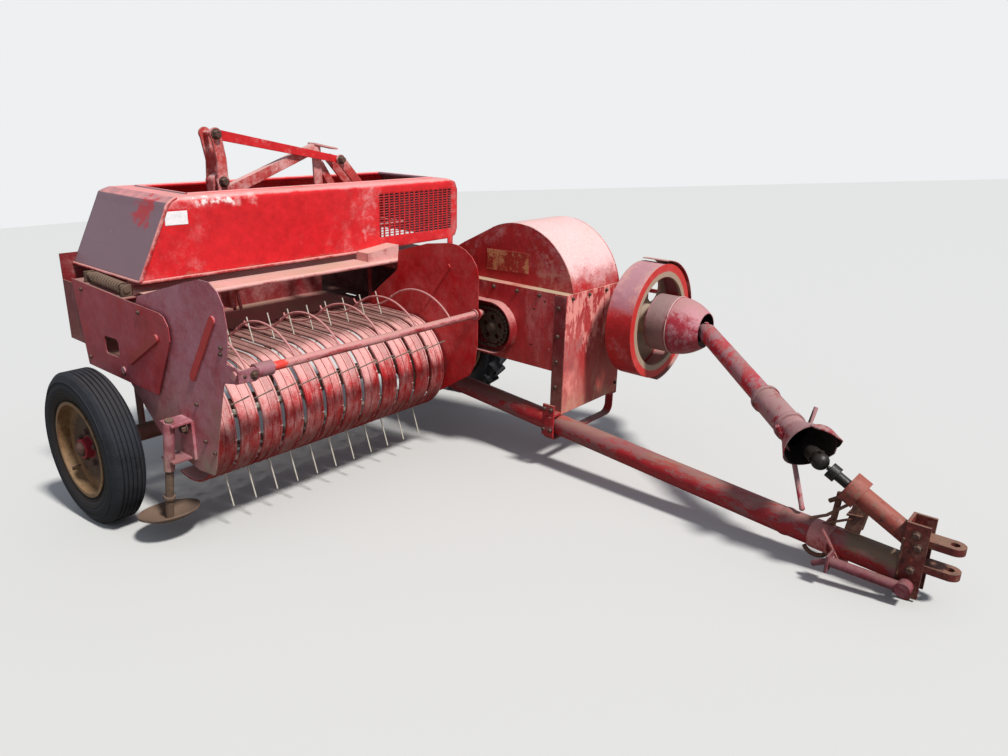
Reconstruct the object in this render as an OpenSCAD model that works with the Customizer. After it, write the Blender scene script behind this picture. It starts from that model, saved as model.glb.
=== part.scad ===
// Trailed square baler, parked nose down on its hitch foot.
// Everything is drawn on level wheels and then tipped by park():
// X points to the machine's left, Y to its rear, Z up, in millimetres,
// with X = 0 on the bale chamber's centre line and Y = 0 on the axle.

/* [Machine] */
// Width of the bale chamber outside
case_w = 472; // [440:2:520]
// Height of the bale chamber outside
case_h = 360; // [330:2:400]
// Underside of the chamber above level ground
case_z = 591; // [560:1:620]
// Front face of the plunger case ahead of the axle
case_front = 1300; // [1200:5:1400]
// Rear end of the bale chamber behind the axle
chamber_rear = 1900; // [1700:10:2100]
// Sheet thickness of the chamber walls
wall = 6; // [4:0.5:10]

/* [Pickup] */
// Number of bands over the pickup reel
bands = 12; // [8:1:14]
// Spacing of the bands
band_pitch = 104; // [90:1:120]
// Slot between two bands
band_slot = 17; // [16:0.5:22]
// Outside radius of the bands
band_r = 231; // [200:1:260]
// Reach of the tine tips from the reel's centre
tine_reach = 370; // [340:1:380]
// Wire diameter of the tines
tine_d = 6; // [5:0.5:8]
// Curved rods on the windguard
guard_rods = 6; // [4:1:8]

/* [Hood] */
// Columns of slots in the grille
grille_cols = 15; // [8:1:20]
// Rows of slots in the grille
grille_rows = 17; // [8:1:18]

/* [Wheels] */
// Tyre radius
tyre_r = 328; // [300:1:360]
// Tyre section width
tyre_w = 146; // [120:1:180]
// Rim flange radius
rim_r = 207; // [190:1:220]
// Lugs round the left tyre
lugs = 22; // [16:1:28]

/* [Drive] */
// Flywheel radius
fly_r = 268; // [240:1:300]
// Driveline shield tube radius
tube_r = 41; // [34:0.5:50]

/* [Hitch] */
// Outside diameter of the tongue pipe
tongue_d = 96; // [80:1:110]
// Hitch pin hole diameter
pin_d = 26; // [20:0.5:32]
// Gap between the two hitch tangs
tang_gap = 62; // [50:1:80]

/* [Fits] */
// Radial running clearance in bearings
run = 0.06; // [0.02:0.01:0.1]
// Clearance between moving pieces
clear = 6; // [5:0.5:12]
// Gap between seated pieces
seat = 0.3; // [0.2:0.05:0.5]

/* [Hidden] */

// Colours
red = [0.62, 0.10, 0.09];
faded = [0.50, 0.30, 0.31];
steel = [0.30, 0.27, 0.25];
rubber = [0.10, 0.10, 0.10];
rust = [0.42, 0.24, 0.14];
tan = [0.55, 0.45, 0.34];

axle_z = 340;
case_x = case_w / 2;
case_top = case_z + case_h;

// Parked pitch from the foot shoe under the hitch and the tyres
foot_y = -2884;
foot_z = 306;
foot_r = 14;
pitch = asin((tyre_r - foot_r) / norm([foot_y, axle_z - foot_z]))
    - atan2(axle_z - foot_z, -foot_y);
lift = tyre_r - axle_z * cos(pitch);

// Move to the bottom centre of the bounding box
eye_r = 32;
tang_t = 24;
left_x = -case_x - 126;
band_x0 = left_x - 4 - bands * band_pitch;
plate_x = band_x0 - 4;
panel_x = plate_x - 14;
right_c = panel_x - 140;
left_c = case_x + 269;
tang_z = 453;
pin_y = -2980;
front_end = (pin_y - eye_r) * cos(pitch) - (tang_z + tang_gap / 2 + tang_t) * sin(pitch);
rear_end = chamber_rear * cos(pitch) - case_z * sin(pitch);
shift = [-(right_c + left_c) / 2, -(front_end + rear_end) / 2, lift];

// Pickup
reel_y = -456;
reel_z = 511;
pivot_y = -60;
pivot_z = 655;
guard_y = -878;
guard_z = 816;

// Hood
hood_x0 = plate_x + 46;
hood_x1 = case_x + 28;
hood_z = case_top + 73;

// Feeder linkage pins in the front view: rocker pivot, top pin, right-hand pin
rock_pin = [-1040, 1381];
top_pin = [-1058, 1586];
bar_pin = [-370, 1457];

// Driveline: bell centre, joint centre near the hitch and hitch line
drive_x = 187;
drive_z = 803;
bell_y = -1768;
hitch_x = -530;
joint = [hitch_x, -2551, 651];
shaft_dir = [0, -0.8826, -0.4701];

// Tongue pivot and bend
tong_x = 7;
tong_y = -130;
tong_z = 313;
leg_z = 394;
bend = [-462, -2455, 366];

module park() { translate(shift) rotate([pitch, 0, 0]) children(); }

// Extrusions of a side view (y, z) along X and of a front view (x, z) along Y
module along_x(x0, x1) { translate([x0, 0, 0]) rotate([90, 0, 90]) linear_extrude(x1 - x0) children(); }
module along_y(y0, y1) { translate([0, y1, 0]) rotate([90, 0, 0]) linear_extrude(y1 - y0) children(); }

// Round bar between two points
module rod(p, q, r) {
    v = q - p;
    translate(p) rotate([0, acos(v[2] / norm(v)), atan2(v[1], v[0])]) cylinder(r = r, h = norm(v));
}

// Tube between two points
module tube(p, q, r, t) {
    v = q - p;
    translate(p) rotate([0, acos(v[2] / norm(v)), atan2(v[1], v[0])]) difference() {
        cylinder(r = r, h = norm(v));
        translate([0, 0, -1]) cylinder(r = r - t, h = norm(v) + 2);
    }
}

// Disc along X about a side view centre
module disc_x(y, z, r, x0, x1) { translate([x0, y, z]) rotate([0, 90, 0]) cylinder(r = r, h = x1 - x0); }
module disc_y(x, z, r, y0, y1) { translate([x, y1, z]) rotate([90, 0, 0]) cylinder(r = r, h = y1 - y0); }

// Rounded rectangle from (x0, y0) to (x1, y1)
module round_rect(x0, y0, x1, y1, r) {
    translate([x0 + r, y0]) square([x1 - x0 - 2 * r, y1 - y0]);
    translate([x0, y0 + r]) square([x1 - x0, y1 - y0 - 2 * r]);
    for (x = [x0 + r, x1 - r]) for (y = [y0 + r, y1 - r]) translate([x, y]) circle(r);
}

// Axle beam with its stub ends and drop brackets to the chamber and the side panel
module axle() {
    color(faded) park() {
        difference() {
            disc_x(0, axle_z, 38, panel_x + 4 + seat, case_x + 60);
            disc_x(0, axle_z, 30, panel_x + 14, case_x + 50);
        }
        disc_x(0, axle_z, 19, right_c - 62, panel_x + 4 + seat + 1);
        disc_x(0, axle_z, 19, case_x + 59, left_c + 62);
        for (x = [-case_x + 10, case_x - 22]) translate([x, -50, axle_z]) cube([12, 100, case_z - axle_z - seat]);
        for (x = [panel_x + 72, -900]) translate([x, -10 + seat, axle_z + 28]) cube([12, 44, 696 - axle_z - 28 - seat]);
        for (z = [tong_z - 55, tong_z + 43]) translate([tong_x - 60, tong_y - 50, z]) cube([120, 22 - tong_y, 12]);
        translate([tong_x - 60, -66, tong_z - 55]) cube([120, 12, 110]);
        translate([tong_x, tong_y, tong_z - 60]) cylinder(r = 20, h = 120);
    }
}

// Pressed side sheet with its rounded hole and embossed rib
module side_panel() {
    color(faded) park() {
        difference() {
            along_x(panel_x, panel_x + 4) difference() {
                union() {
                    polygon([[332, 984], [-130, 968], [-409, 960], [-330, 611], [271, 609]]);
                    polygon([[-409, 960], [-440, 950], [-466, 918], [-470, 860], [-330, 611]]);
                }
                rotate(-2) round_rect(-62, 700, 60, 778, 18);
            }
            disc_x(pivot_y, pivot_z, 15 + run, panel_x - 1, panel_x + 5);
        }
        translate([panel_x - 9, 0, 0]) along_x(0, 9.5) translate([-252, 783]) rotate(-31)
            round_rect(-152, -16, 152, 16, 15);
        translate([panel_x + 3.9, -120, 962]) rotate([2, 0, 0]) cube([72, 440, 4]);
        translate([panel_x + 3.9, 268, 611]) cube([30, 4, 696 - 611 - seat]);
    }
}

// Front case: side walls, front sheet on two legs, floor and top ledges
module plunger_case() {
    y0 = -case_front;
    color(red) park() difference() {
        union() {
            for (s = [-1, 1]) {
                x = s < 0 ? -case_x : case_x - wall;
                translate([x, y0, case_z]) cube([wall, case_front - 255, case_h]);
                translate([x, y0, leg_z]) cube([wall, 64, case_z - leg_z]);
            }
            translate([-case_x, y0, leg_z]) cube([case_w, wall, case_top - leg_z]);
            translate([-case_x, y0, case_z]) cube([case_w, case_front - 255, wall]);
            translate([-case_x, y0, case_top - wall]) cube([case_x - 176, case_front - 255, wall]);
            translate([190, y0, case_top - wall]) cube([case_x - 190, case_front - 255, wall]);
            translate([-case_x, y0, case_top - wall]) cube([case_w, 12, wall]);
            translate([-case_x, -300, case_top - wall]) cube([case_w, 45, wall]);
        }
        disc_x(-900, 740, 17.5 + run, -case_x - 1, -case_x + wall + 1);
        disc_y(drive_x, drive_z, 45, y0 - 1, y0 + wall + 1);
        for (p = [[-1180, 905], [-1120, 860], [-1110, 690], [-1250, 640], [-700, 900], [-1240, 890], [-1240, 760]])
            disc_x(p[0], p[1], 5, -case_x - 1, -case_x + wall + 1);
    }
}

// Domed cover over the crank's swing
module crank_arch() {
    color(red) park() {
        difference() {
            arch_body(0);
            arch_body(4);
        }
    }
}
module arch_body(inset) {
    r = 335 - inset;
    cut = -965 + 0.4472 * r;
    top = 893 + 0.8944 * r;
    foot = case_top + seat + (inset > 0 ? -1 : 0);
    x0 = -184 + inset;
    x1 = 198 - inset;
    intersection() {
        disc_x(-965, 893, r, x0, x1);
        translate([x0 - 1, -1400, foot]) cube([x1 - x0 + 2, 1400 + cut, 400]);
    }
    along_x(x0, x1) polygon([[cut - 20, top - 14], [cut + 0.5, top - 1], [-640, top - 0.5 - (-640 - cut) / 2],
        [-400 - inset, case_top + 20 - inset], [-400 - inset, foot], [cut - 20, foot]]);
}

// Gearbox block behind the flywheel with its input housing and crank boss
module gearbox() {
    color(steel) park() {
        translate([10, -case_front + wall + seat, 665]) cube([200, case_front - 1015 - wall - seat, 262]);
        difference() {
            disc_y(drive_x, drive_z, 42, -case_front - 60, -1284);
            disc_y(drive_x, drive_z, 24 + run, -case_front - 61, -1290);
        }
    }
}

// Bale chamber behind the case, open to the feeder on its right
module bale_chamber() {
    color(red) park() difference() {
        union() {
            for (x = [-case_x, case_x - wall]) translate([x, -254.7, case_z]) cube([wall, 1560, case_h]);
            translate([-case_x, -254.7, case_z]) cube([case_w, chamber_rear + 254.7, wall]);
            translate([-case_x, -254.7, case_top - wall]) cube([case_w, 1560, wall]);
            for (x = [-52, 40]) translate([x, 1135, case_top - 1]) cube([12, 40, 56]);
        }
        disc_x(1155, case_top + 34, 10 + run, -60, 60);
        disc_x(pivot_y, pivot_z, 15 + run, -case_x - 1, -case_x + wall + 1);
        translate([-case_x - 1, -200, 700]) cube([wall + 2, 630, 215]);
        for (x = [-115, 115]) {
            translate([x - 15, 540, case_z - 1]) cube([30, 110, wall + 2]);
            translate([x - 15, 560, case_top - wall - 1]) cube([30, 130, wall + 2]);
        }
        translate([-20, 1040, case_top - wall - 1]) cube([40, 230, wall + 2]);
        for (s = [-1, 1]) for (z = [case_z + 180, case_z + 270])
            translate([s < 0 ? -case_x - 1 : case_x - wall - 1, 780, z]) cube([wall + 2, 440, 60]);
        for (s = [-1, 1]) disc_x(950, 720, 12.5 + run, s < 0 ? -case_x - 1 : case_x - wall - 1, s < 0 ? -case_x + wall + 1 : case_x + 1);
    }
}

// Long angles that carry on the chamber to its rear end
module chamber_rails() {
    color(red) park() {
        for (s = [-1, 1]) {
            for (z = [case_z + wall + seat, case_top - 46]) {
                translate([s < 0 ? -case_x : case_x - 6, 1305.6, z]) cube([6, chamber_rear - 1305.6, 46]);
            }
            translate([s < 0 ? -case_x : case_x - 46, 1305.6, case_top - 6]) cube([46, chamber_rear - 1305.6, 6]);
            translate([s < 0 ? -case_x : case_x - 6, 1306, case_z + 6.3]) cube([6, 40, case_h - 6.3]);
            translate([s < 0 ? -case_x : case_x - 6, chamber_rear - 40, case_z + 6.3]) cube([6, 40, case_h - 6.3]);
        }
        for (y = [1320, 1600, chamber_rear - 60]) translate([-case_x, y, case_top - 6]) cube([case_w, 40, 6]);
    }
}

// Two screw jacks with springs that squeeze the rails
module tension_gear() {
    color(rust) park() for (s = [-1, 1]) {
        x = s * (case_x + 22);
        translate([x - 22 - (s > 0 ? 30 : 0), 1700, case_top + seat]) cube([74, 60, 8]);
        translate([x - 22 - (s > 0 ? 30 : 0), 1700, case_z - 8 - seat]) cube([74, 60, 8]);
        translate([x, 1730, case_z - 30]) cylinder(r = 9, h = case_h + 210);
        for (k = [0 : 5]) translate([x, 1730, case_top + 12 + k * 20]) rotate_extrude() translate([20, 0]) circle(6);
        translate([x, 1730, case_top + 8]) cylinder(r = 17, h = 118);
        translate([x, 1730, case_top + 126]) cylinder(r = 26, h = 8);
        rod([x, 1730, case_top + 175], [x, 1850, case_top + 175], 8);
        rod([x, 1842, case_top + 168], [x, 1842, case_top + 240], 7);
    }
}

// Feeder floor, rear wall and front header over the pickup
module feeder_house() {
    x0 = panel_x + 4 + seat;
    x1 = -case_x - seat;
    color(red) park() {
        translate([x0, -12, 696]) cube([x1 - x0, 446.3, 4]);
        translate([x0, 430 + seat, 696]) cube([x1 - x0, 4, hood_z + 52 - 696]);
        translate([x0, -16, 664]) cube([x1 - x0, 6, 36]);
        translate([x0, 90, 697]) cube([4, 342, 265]);
        translate([x1 - 4, -200, 955]) cube([4, 634, 61]);
        translate([x1 - 4, -16, 696]) cube([4, 30, 320]);
    }
}

// Shelf under the hood with its rolled front lip and the deflector wedge
module shelf() {
    z = hood_z - 40;
    color(red) park() {
        translate([hood_x0, -283, z]) cube([-case_x - 4 - 2 * seat - hood_x0, 260, 4]);
        disc_x(-283, z - 6, 10, hood_x0 + 12, -case_x - 24);
        translate([hood_x0 + 12, -30, z]) cube([-case_x - 36 - hood_x0, 6, 40]);
        translate([hood_x0, -110, 969.4]) cube([15, 80, z - 969.3]);
        along_y(-260, -171 - seat) polygon([[-case_x - 234, z + 3.9], [-case_x - 29, z + 3.9], [-case_x - 29, z + 68], [-case_x - 234, z + 46]]);
    }
}

// Hood: open topped cover with a rolled rim and a slotted grille
module hood_view(inset) {
    x0 = hood_x0 + inset;
    x1 = hood_x1 - inset;
    z = hood_z;
    d = inset > 0 ? 20 : 0;
    polygon([[x0 - 0.49 * d, z + 6 - d], [x0 + 130, z + 272], [x0 + 147, z + 308 - inset / 2], [x0 + 190, z + 328 - inset],
        [x1 - 60, z + 328 - inset], [x1 - 18, z + 310 - inset], [x1, z + 268], [x1, z + 56], [x1 - 14, z + 20],
        [x1 - 50, z + 4], [x1 - 50, z + 4 - d], [-case_x - 84, z - d]]);
}
module hood_side(inset) {
    r = 26 - inset;
    y0 = -171 + inset;
    y1 = 430 - inset;
    top = hood_z + 328 - inset;
    translate([y0, hood_z - 40]) square([y1 - y0, top - r - hood_z + 40]);
    translate([y0 + r, hood_z - 40]) square([y1 - y0 - 2 * r, top - hood_z + 40]);
    for (y = [y0 + r, y1 - r]) translate([y, top - r]) circle(r);
}
module hood_shell(inset) {
    intersection() {
        along_y(-171 + inset, 430 - inset) hood_view(inset);
        along_x(hood_x0 - 50, hood_x1 + 10) hood_side(inset);
    }
}
module hood() {
    open_x0 = hood_x0 + 282;
    open_x1 = hood_x1 - 114;
    color(red) park() {
        difference() {
            hood_shell(0);
            hood_shell(4);
            translate([open_x0, -70, hood_z + 276]) cube([open_x1 - open_x0, 420, 100]);
            for (i = [0 : grille_cols - 1]) for (j = [0 : grille_rows - 1])
                translate([hood_x1 - 572 + i * 531 / grille_cols, -175, hood_z + 60 + j * 218 / grille_rows])
                    cube([0.74 * 531 / grille_cols, 12, 0.66 * 218 / grille_rows]);
            translate([hood_x1 - 564, 420, hood_z + 16]) cube([520, 20, 150]);
        }
        for (y = [-171, 426]) translate([case_x - 46, y, case_top + seat]) cube([40, 4, hood_z - case_top + 18]);
        for (y = [-80, 350]) disc_x(y, hood_z + 325, 9, open_x0, open_x1);
        for (x = [open_x0, open_x1]) disc_y(x, hood_z + 325, 9, -80, 350);
    }
}

// Fixed stays of the feeder: cross beam, left clevis, sloping channel, post and brace
module feeder_stays() {
    color(faded) park() difference() {
        union() {
            translate([-1120, 74, 1090]) cube([1240, 40, 12]);
            for (x = [-1120, 108]) translate([x, 74, 1090]) cube([12, 352 - seat, 12]);
            along_y(72, 120) union() {
                polygon([[-1080, 1100], [-1000, 1100], [-1008, 1381], [-1072, 1381]]);
                translate(rock_pin) circle(32);
            }
            along_y(72, 112) polygon([[-1030, 1318], [-985, 1310], [-478, 1500], [-500, 1536], [-1020, 1350]]);
            translate([-508, 66, 1532]) rotate([0, 11, 0]) cube([142, 60, 8]);
            along_y(84, 94) polygon([[-512, 1530], [-462, 1520], [-452, 1100], [-502, 1100]]);
            along_y(93, 105) polygon([[-490, 1452], [-446, 1452], [-260, 1166], [-240, 1101], [-290, 1101], [-306, 1150]]);
        }
        disc_y(rock_pin[0], rock_pin[1], 12 + run, 60, 130);
    }
}

// Rocker plates on both sides of the left clevis, carrying a packer finger
module feeder_rocker() {
    color(faded) park() {
        for (y = [40, 128]) along_y(y, y + 10) union() {
            polygon([top_pin + [-24, -8], top_pin + [24, 8], [-1016, 1478], rock_pin + [26, 0], [-1016, 1020], [-1058, 1020],
                rock_pin + [-28, 0], [-1062, 1470]]);
            translate(top_pin) circle(28);
            translate(rock_pin) circle(31);
        }
        disc_y(rock_pin[0], rock_pin[1], 12, 41, 137);
        disc_y(top_pin[0], top_pin[1], 12, 41, 137);
        translate([-1052, 49.5, 800]) cube([30, 79, 225]);
        disc_y(-1037, 1030, 12, 44, 134);
        for (y = [60, 118]) rod([-1037, y, 1030], [-990, y, 770], 8);
    }
}

// Long flat bar that ties the rocker to the right-hand links
module feeder_bar() {
    color(red) park() difference() {
        along_y(54, 64) union() {
            polygon([top_pin + [4, 22], top_pin + [-4, -22], bar_pin + [-3, -17], bar_pin + [3, 17]]);
            translate(top_pin) circle(24);
            translate(bar_pin) circle(20);
        }
        disc_y(top_pin[0], top_pin[1], 12 + run, 53, 65);
        disc_y(bar_pin[0], bar_pin[1], 12 + run, 53, 65);
    }
}

// Pair of links hung from the bar's right end, joined by a cross tube
module feeder_arm() {
    foot = [-170, 1238];
    color(red) park() {
        for (y = [40, 128]) along_y(y, y + 10) union() {
            polygon([bar_pin + [-14, -20], bar_pin + [18, 17], foot + [17, 15], foot + [-17, -15]]);
            translate(bar_pin) circle(25);
            translate(foot) circle(23);
        }
        disc_y(bar_pin[0], bar_pin[1], 12, 41, 137);
        disc_y(foot[0], foot[1], 14, 41, 137);
    }
}

// Chain guard round the drive sprocket on the case's side
module chain_guard() {
    color(red) park() difference() {
        along_x(-case_x - 50 - seat, -case_x - seat) guard_view(126);
        along_x(-case_x - 51, -case_x - 4) guard_view(120);
        translate([-case_x - 60, -600, 500]) cube([70, 300, 500]);
        disc_x(-900, 740, 40, -case_x - 10, -case_x + 1);
    }
}
module guard_view(r) {
    translate([-900, 740]) circle(r);
    translate([-900, 740 - r]) square([340, 2 * r]);
}

// Roller chain round the sprocket and its two runs, ending in a wear guide
module drive_chain() {
    color(steel) park() {
        difference() {
            along_x(-case_x - 31, -case_x - 25) union() {
                translate([-900, 740]) circle(94);
                translate([-900, 740 - 94]) square([290, 188]);
            }
            along_x(-case_x - 40, -case_x - 10) union() {
                translate([-900, 740]) circle(87);
                translate([-900, 740 - 87]) square([300, 174]);
            }
        }
        for (k = [0 : 15]) translate([-case_x - 36, -900, 740]) rotate([-k * 12, 0, 0]) translate([0, 0, -96]) link();
        for (k = [1 : 12]) for (z = [-96, 84]) translate([-case_x - 36, -900 + k * 22, 740 + z]) link();
        translate([-case_x - 34, -640, 644]) cube([34 - 4 - 2 * seat, 24, 192]);
    }
}
module link() { translate([0, -7.5, 0]) cube([16, 15, 12]); }

// Sprocket with lightening holes
module drive_sprocket() {
    color(rust) park() {
        difference() {
            union() {
                disc_x(-900, 740, 74, -case_x - 33, -case_x - 23);
                for (k = [0 : 17]) translate([-case_x - 33, -900, 740]) rotate([k * 20, 0, 0])
                    translate([0, -6, 70]) cube([10, 12, 10]);
                disc_x(-900, 740, 26, -case_x - 46, -case_x - 12);
            }
            for (k = [0 : 4]) translate([-case_x - 34, -900, 740]) rotate([k * 72, 0, 0])
                translate([0, 0, 48]) rotate([0, 90, 0]) cylinder(r = 13, h = 12);
        }
        disc_x(-900, 740, 17.5, -case_x - 50, -case_x + 60);
    }
}

// Flywheel: deep rim, four arms and a hub on the input shaft
module flywheel() {
    color(red) park() {
        difference() {
            disc_y(drive_x, drive_z, fly_r, -1540, -1410);
            disc_y(drive_x, drive_z, fly_r - 24, -1541, -1409);
        }
        difference() {
            disc_y(drive_x, drive_z, fly_r - 22, -1540, -1526);
            disc_y(drive_x, drive_z, fly_r - 60, -1541, -1525);
        }
        difference() {
            disc_y(drive_x, drive_z, fly_r - 22, -1440, -1424);
            translate([drive_x, 0, drive_z]) for (k = [0 : 3]) rotate([0, k * 90 + 38, 0])
                disc_y(0, 0.58 * fly_r, 62, -1450, -1420);
        }
        disc_y(drive_x, drive_z, 70, -1520, -1430);
    }
    color(steel) park() disc_y(drive_x, drive_z, 24, bell_y + 34.4, -1296);
}

// Strip guard round the outer side of the flywheel
module flywheel_guard() {
    r = fly_r + 13;
    color(red) park() {
        difference() {
            disc_y(drive_x, drive_z, r + 3, -1548, -1420);
            disc_y(drive_x, drive_z, r, -1549, -1419);
            translate([drive_x - 600, -1600, drive_z - 400]) cube([600, 300, 800]);
        }
        for (z = [-80, 60]) translate([drive_x + r - 8, -1430, drive_z + z]) cube([8, 1430 - case_front - seat, 20]);
        difference() {
            translate([case_x - 60, -case_front - 8, drive_z - 80]) cube([drive_x + r - case_x + 60, 8 - seat, 160]);
            disc_y(drive_x, drive_z, 52, -case_front - 10, -case_front + 1);
        }
    }
}

// Bell shield over the driveline joint
module pto_bell() {
    n = 10;
    prof = [for (i = [0 : n]) let (t = i / n) [130 - 50 * t * t, 110 + 130 * t]];
    color(red) park() {
        translate([drive_x, -1528, drive_z]) rotate([90, 0, 0]) difference() {
            rotate_extrude() polygon(concat([[0, 0], [130, 0], [130, 102], [133, 103], [133, 110]], prof, [[0, 240]]));
            rotate_extrude() polygon(concat([[0, -1], [126, -1]], [for (p = prof) [p[0] - 4, p[1]]], [[76, 241], [0, 241]]));
        }
        translate([drive_x, -1554, drive_z]) rotate([90, 0, 0]) difference() {
            union() {
                cylinder(r = 36, h = 30);
                for (k = [0 : 2]) rotate(90 + k * 120) translate([0, -14, 0]) cube([127.5, 28, 8]);
            }
            translate([0, 0, -1]) cylinder(r = 24 + run, h = 32);
        }
    }
}

// Corner clamp and the curved strap that the tongue slides along
module tongue_latch() {
    x0 = -case_x - 62;
    x1 = case_x - 14;
    color(red) park() {
        translate([x0, -case_front, 300]) cube([12, 60, 150]);
        translate([x0 + 11.5, -case_front, leg_z]) cube([50.5 - seat, 60, 12]);
        difference() {
            along_y(-case_front + 8, -case_front + 48) round_rect(x0 - 4, 276, x1, 500, 45);
            along_y(-case_front + 7, -case_front + 49) round_rect(x0 + 4, 284, x1 - 8, 520, 40);
            translate([x0 - 50, -case_front, leg_z - seat]) cube([x1 - x0 + 100, 60, 200]);
        }
        translate([x1 - 50, -case_front, leg_z - 11]) cube([case_x - x1 + 50, 48, 11 - seat]);
    }
}

// Plunger block that slides in the chamber
module plunger() {
    c = clear;
    color(steel) park() for (x = [-180, 140]) translate([x, -690, case_z + wall + seat]) cube([40, 420, c]);
    color(steel) park() difference() {
        translate([-case_x + wall + c, -700, case_z + wall + c]) cube([case_w - 2 * wall - 2 * c, 440, case_h - 2 * wall - 2 * c]);
        translate([-case_x + wall + c + 8, -701, case_z + wall + c + 8]) cube([case_w - 2 * wall - 2 * c - 16, 425, case_h - 2 * wall - 2 * c - 16]);
    }
}

// Knotter stack over the chamber: frames, shaft and two twine discs
module knotter() {
    color(red) park() {
        for (x = [-200, 188]) translate([x, 520, case_top + seat]) cube([12, 200, 190]);
        translate([-200, 690, case_top + 138]) cube([400, 30, 40]);
    }
    color(rust) park() {
        disc_x(600, case_top + 130, 18, -199, 199);
        for (x = [-115, 115]) {
            disc_x(600, case_top + 130, 70, x - 30, x - 18);
            disc_x(600, case_top + 130, 42, x - 18, x + 26);
            disc_x(690, case_top + 110, 34, x - 14, x + 14);
        }
    }
}

// Needle yoke swung under the chamber, needles bent about its pivots
module needle_yoke() {
    r = 400;
    color(faded) park() {
        for (s = [-1, 1]) {
            x = s * (case_x + 18);
            translate([x - 5, 950, 720]) rotate([13, 0, 0]) translate([0, -18, -r]) cube([10, 36, r]);
            disc_x(950, 720, 30, x - 6, x + 6);
            disc_x(950, 720, 12.5, s < 0 ? -case_x - 23 : case_x, s < 0 ? -case_x + wall : case_x + 23);
        }
        translate([-case_x - 24, 950, 720]) rotate([13, 0, 0]) translate([0, -18, -r - 18]) cube([case_w + 48, 36, 36]);
        for (x = [-115, 115]) translate([x - 6, 950, 720]) rotate([90, 0, 90]) rotate(202)
            rotate_extrude(angle = 81) translate([r - 15, 0]) square([30, 12]);
    }
}

// Toothed metering wheel let into the chamber's roof
module star_wheel() {
    color(rust) park() {
        disc_x(1155, case_top + 34, 78, -4, 4);
        for (k = [0 : 9]) translate([0, 1155, case_top + 34]) rotate([k * 36, 0, 0])
            translate([-3.5, -10, 66]) cube([7, 20, 38]);
        disc_x(1155, case_top + 34, 24, -20, 20);
        disc_x(1155, case_top + 34, 10, -60, 60);
    }
}

// Twine box on the feeder's rear wall, open on top
module twine_box() {
    color(red) park() difference() {
        translate([-1050, 434.6, 700]) cube([620, 330, 300]);
        translate([-1046, 438.6, 704]) cube([612, 322, 300]);
    }
}
module twine_lid() {
    color(red) park() {
        translate([-1056, 446, 1000.3]) cube([632, 326, 4]);
        translate([-1056, 768, 970]) cube([632, 4, 32]);
        disc_x(446, 1006, 5, -1056, -424);
    }
}

// Right-hand end plate of the pickup
module pickup_plate_right() {
    color(faded) park() {
        difference() {
            along_x(plate_x, plate_x + 4) union() {
                polygon([[-40, 712], [-224, 994], [-620, 1112], [-694, 1130], [-760, 1130], [-808, 1104], [-838, 1060],
                    [-850, 990], [-842, 900], [-777, 702], [-690, 400], [-674, 368], [-563, 356], [-330, 400], [-40, 625]]);
                translate([pivot_y, pivot_z]) circle(34);
                translate([guard_y, guard_z]) circle(31);
                polygon([[-800, 850], [guard_y, guard_z + 30], [guard_y, guard_z - 30], [-800, 770]]);
            }
            disc_x(guard_y, guard_z, 17 + run, plate_x - 1, plate_x + 5);
            disc_x(pivot_y, pivot_z, 16, plate_x - 1, plate_x + 5);
            disc_x(reel_y, reel_z, 24 + run, plate_x - 1, plate_x + 5);
        }
        disc_x(pivot_y, pivot_z, 15, panel_x - 6, plate_x + 20);
        disc_x(pivot_y, pivot_z, 30, plate_x + 3.9, plate_x + 12);
        translate([plate_x - 8, 0, 0]) along_x(0, 8.5) translate([-681, 872]) rotate(-55.5) round_rect(-166, -17, 166, 17, 16);
        difference() {
            disc_x(reel_y, reel_z, 52, plate_x + 3.9, plate_x + 16);
            disc_x(reel_y, reel_z, 24 + run, plate_x + 3, plate_x + 17);
        }
        difference() {
            skid_mount();
            rod(skid_top - 30 * skid_dir, skid_top + 270 * skid_dir, 16 + run);
        }
    }
}

// Left-hand end plate of the pickup
module pickup_plate_left() {
    color(red) park() {
        difference() {
            along_x(left_x, left_x + 4) union() {
                polygon([[-44, 712], [-352, 950], [-362, 1045], [-560, 1105], [-710, 1126], [-760, 1122], [-808, 1106], [-850, 1078],
                    [-880, 1040], [-893, 990], [-890, 667], [-875, 565], [-845, 510], [-783, 471], [-652, 387], [-505, 340], [-400, 345], [-40, 625]]);
                translate([pivot_y, pivot_z]) circle(34);
                translate([guard_y, guard_z]) circle(31);
            }
            disc_x(guard_y, guard_z, 17 + run, left_x - 1, left_x + 5);
            disc_x(pivot_y, pivot_z, 16, left_x - 1, left_x + 5);
            disc_x(reel_y, reel_z, 24 + run, left_x - 1, left_x + 5);
        }
        disc_x(pivot_y, pivot_z, 15, left_x - 8, -case_x + wall - 1);
        disc_x(pivot_y, pivot_z, 30, left_x - 8, left_x + 0.1);
        translate([left_x - 6, 0, 0]) along_x(0, 6.1) translate([-620, 905]) rotate(-52) round_rect(-150, -12, 150, 12, 11);
        difference() {
            disc_x(reel_y, reel_z, 52, left_x - 12, left_x + 0.1);
            disc_x(reel_y, reel_z, 24 + run, left_x - 13, left_x + 1);
        }
    }
}

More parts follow.
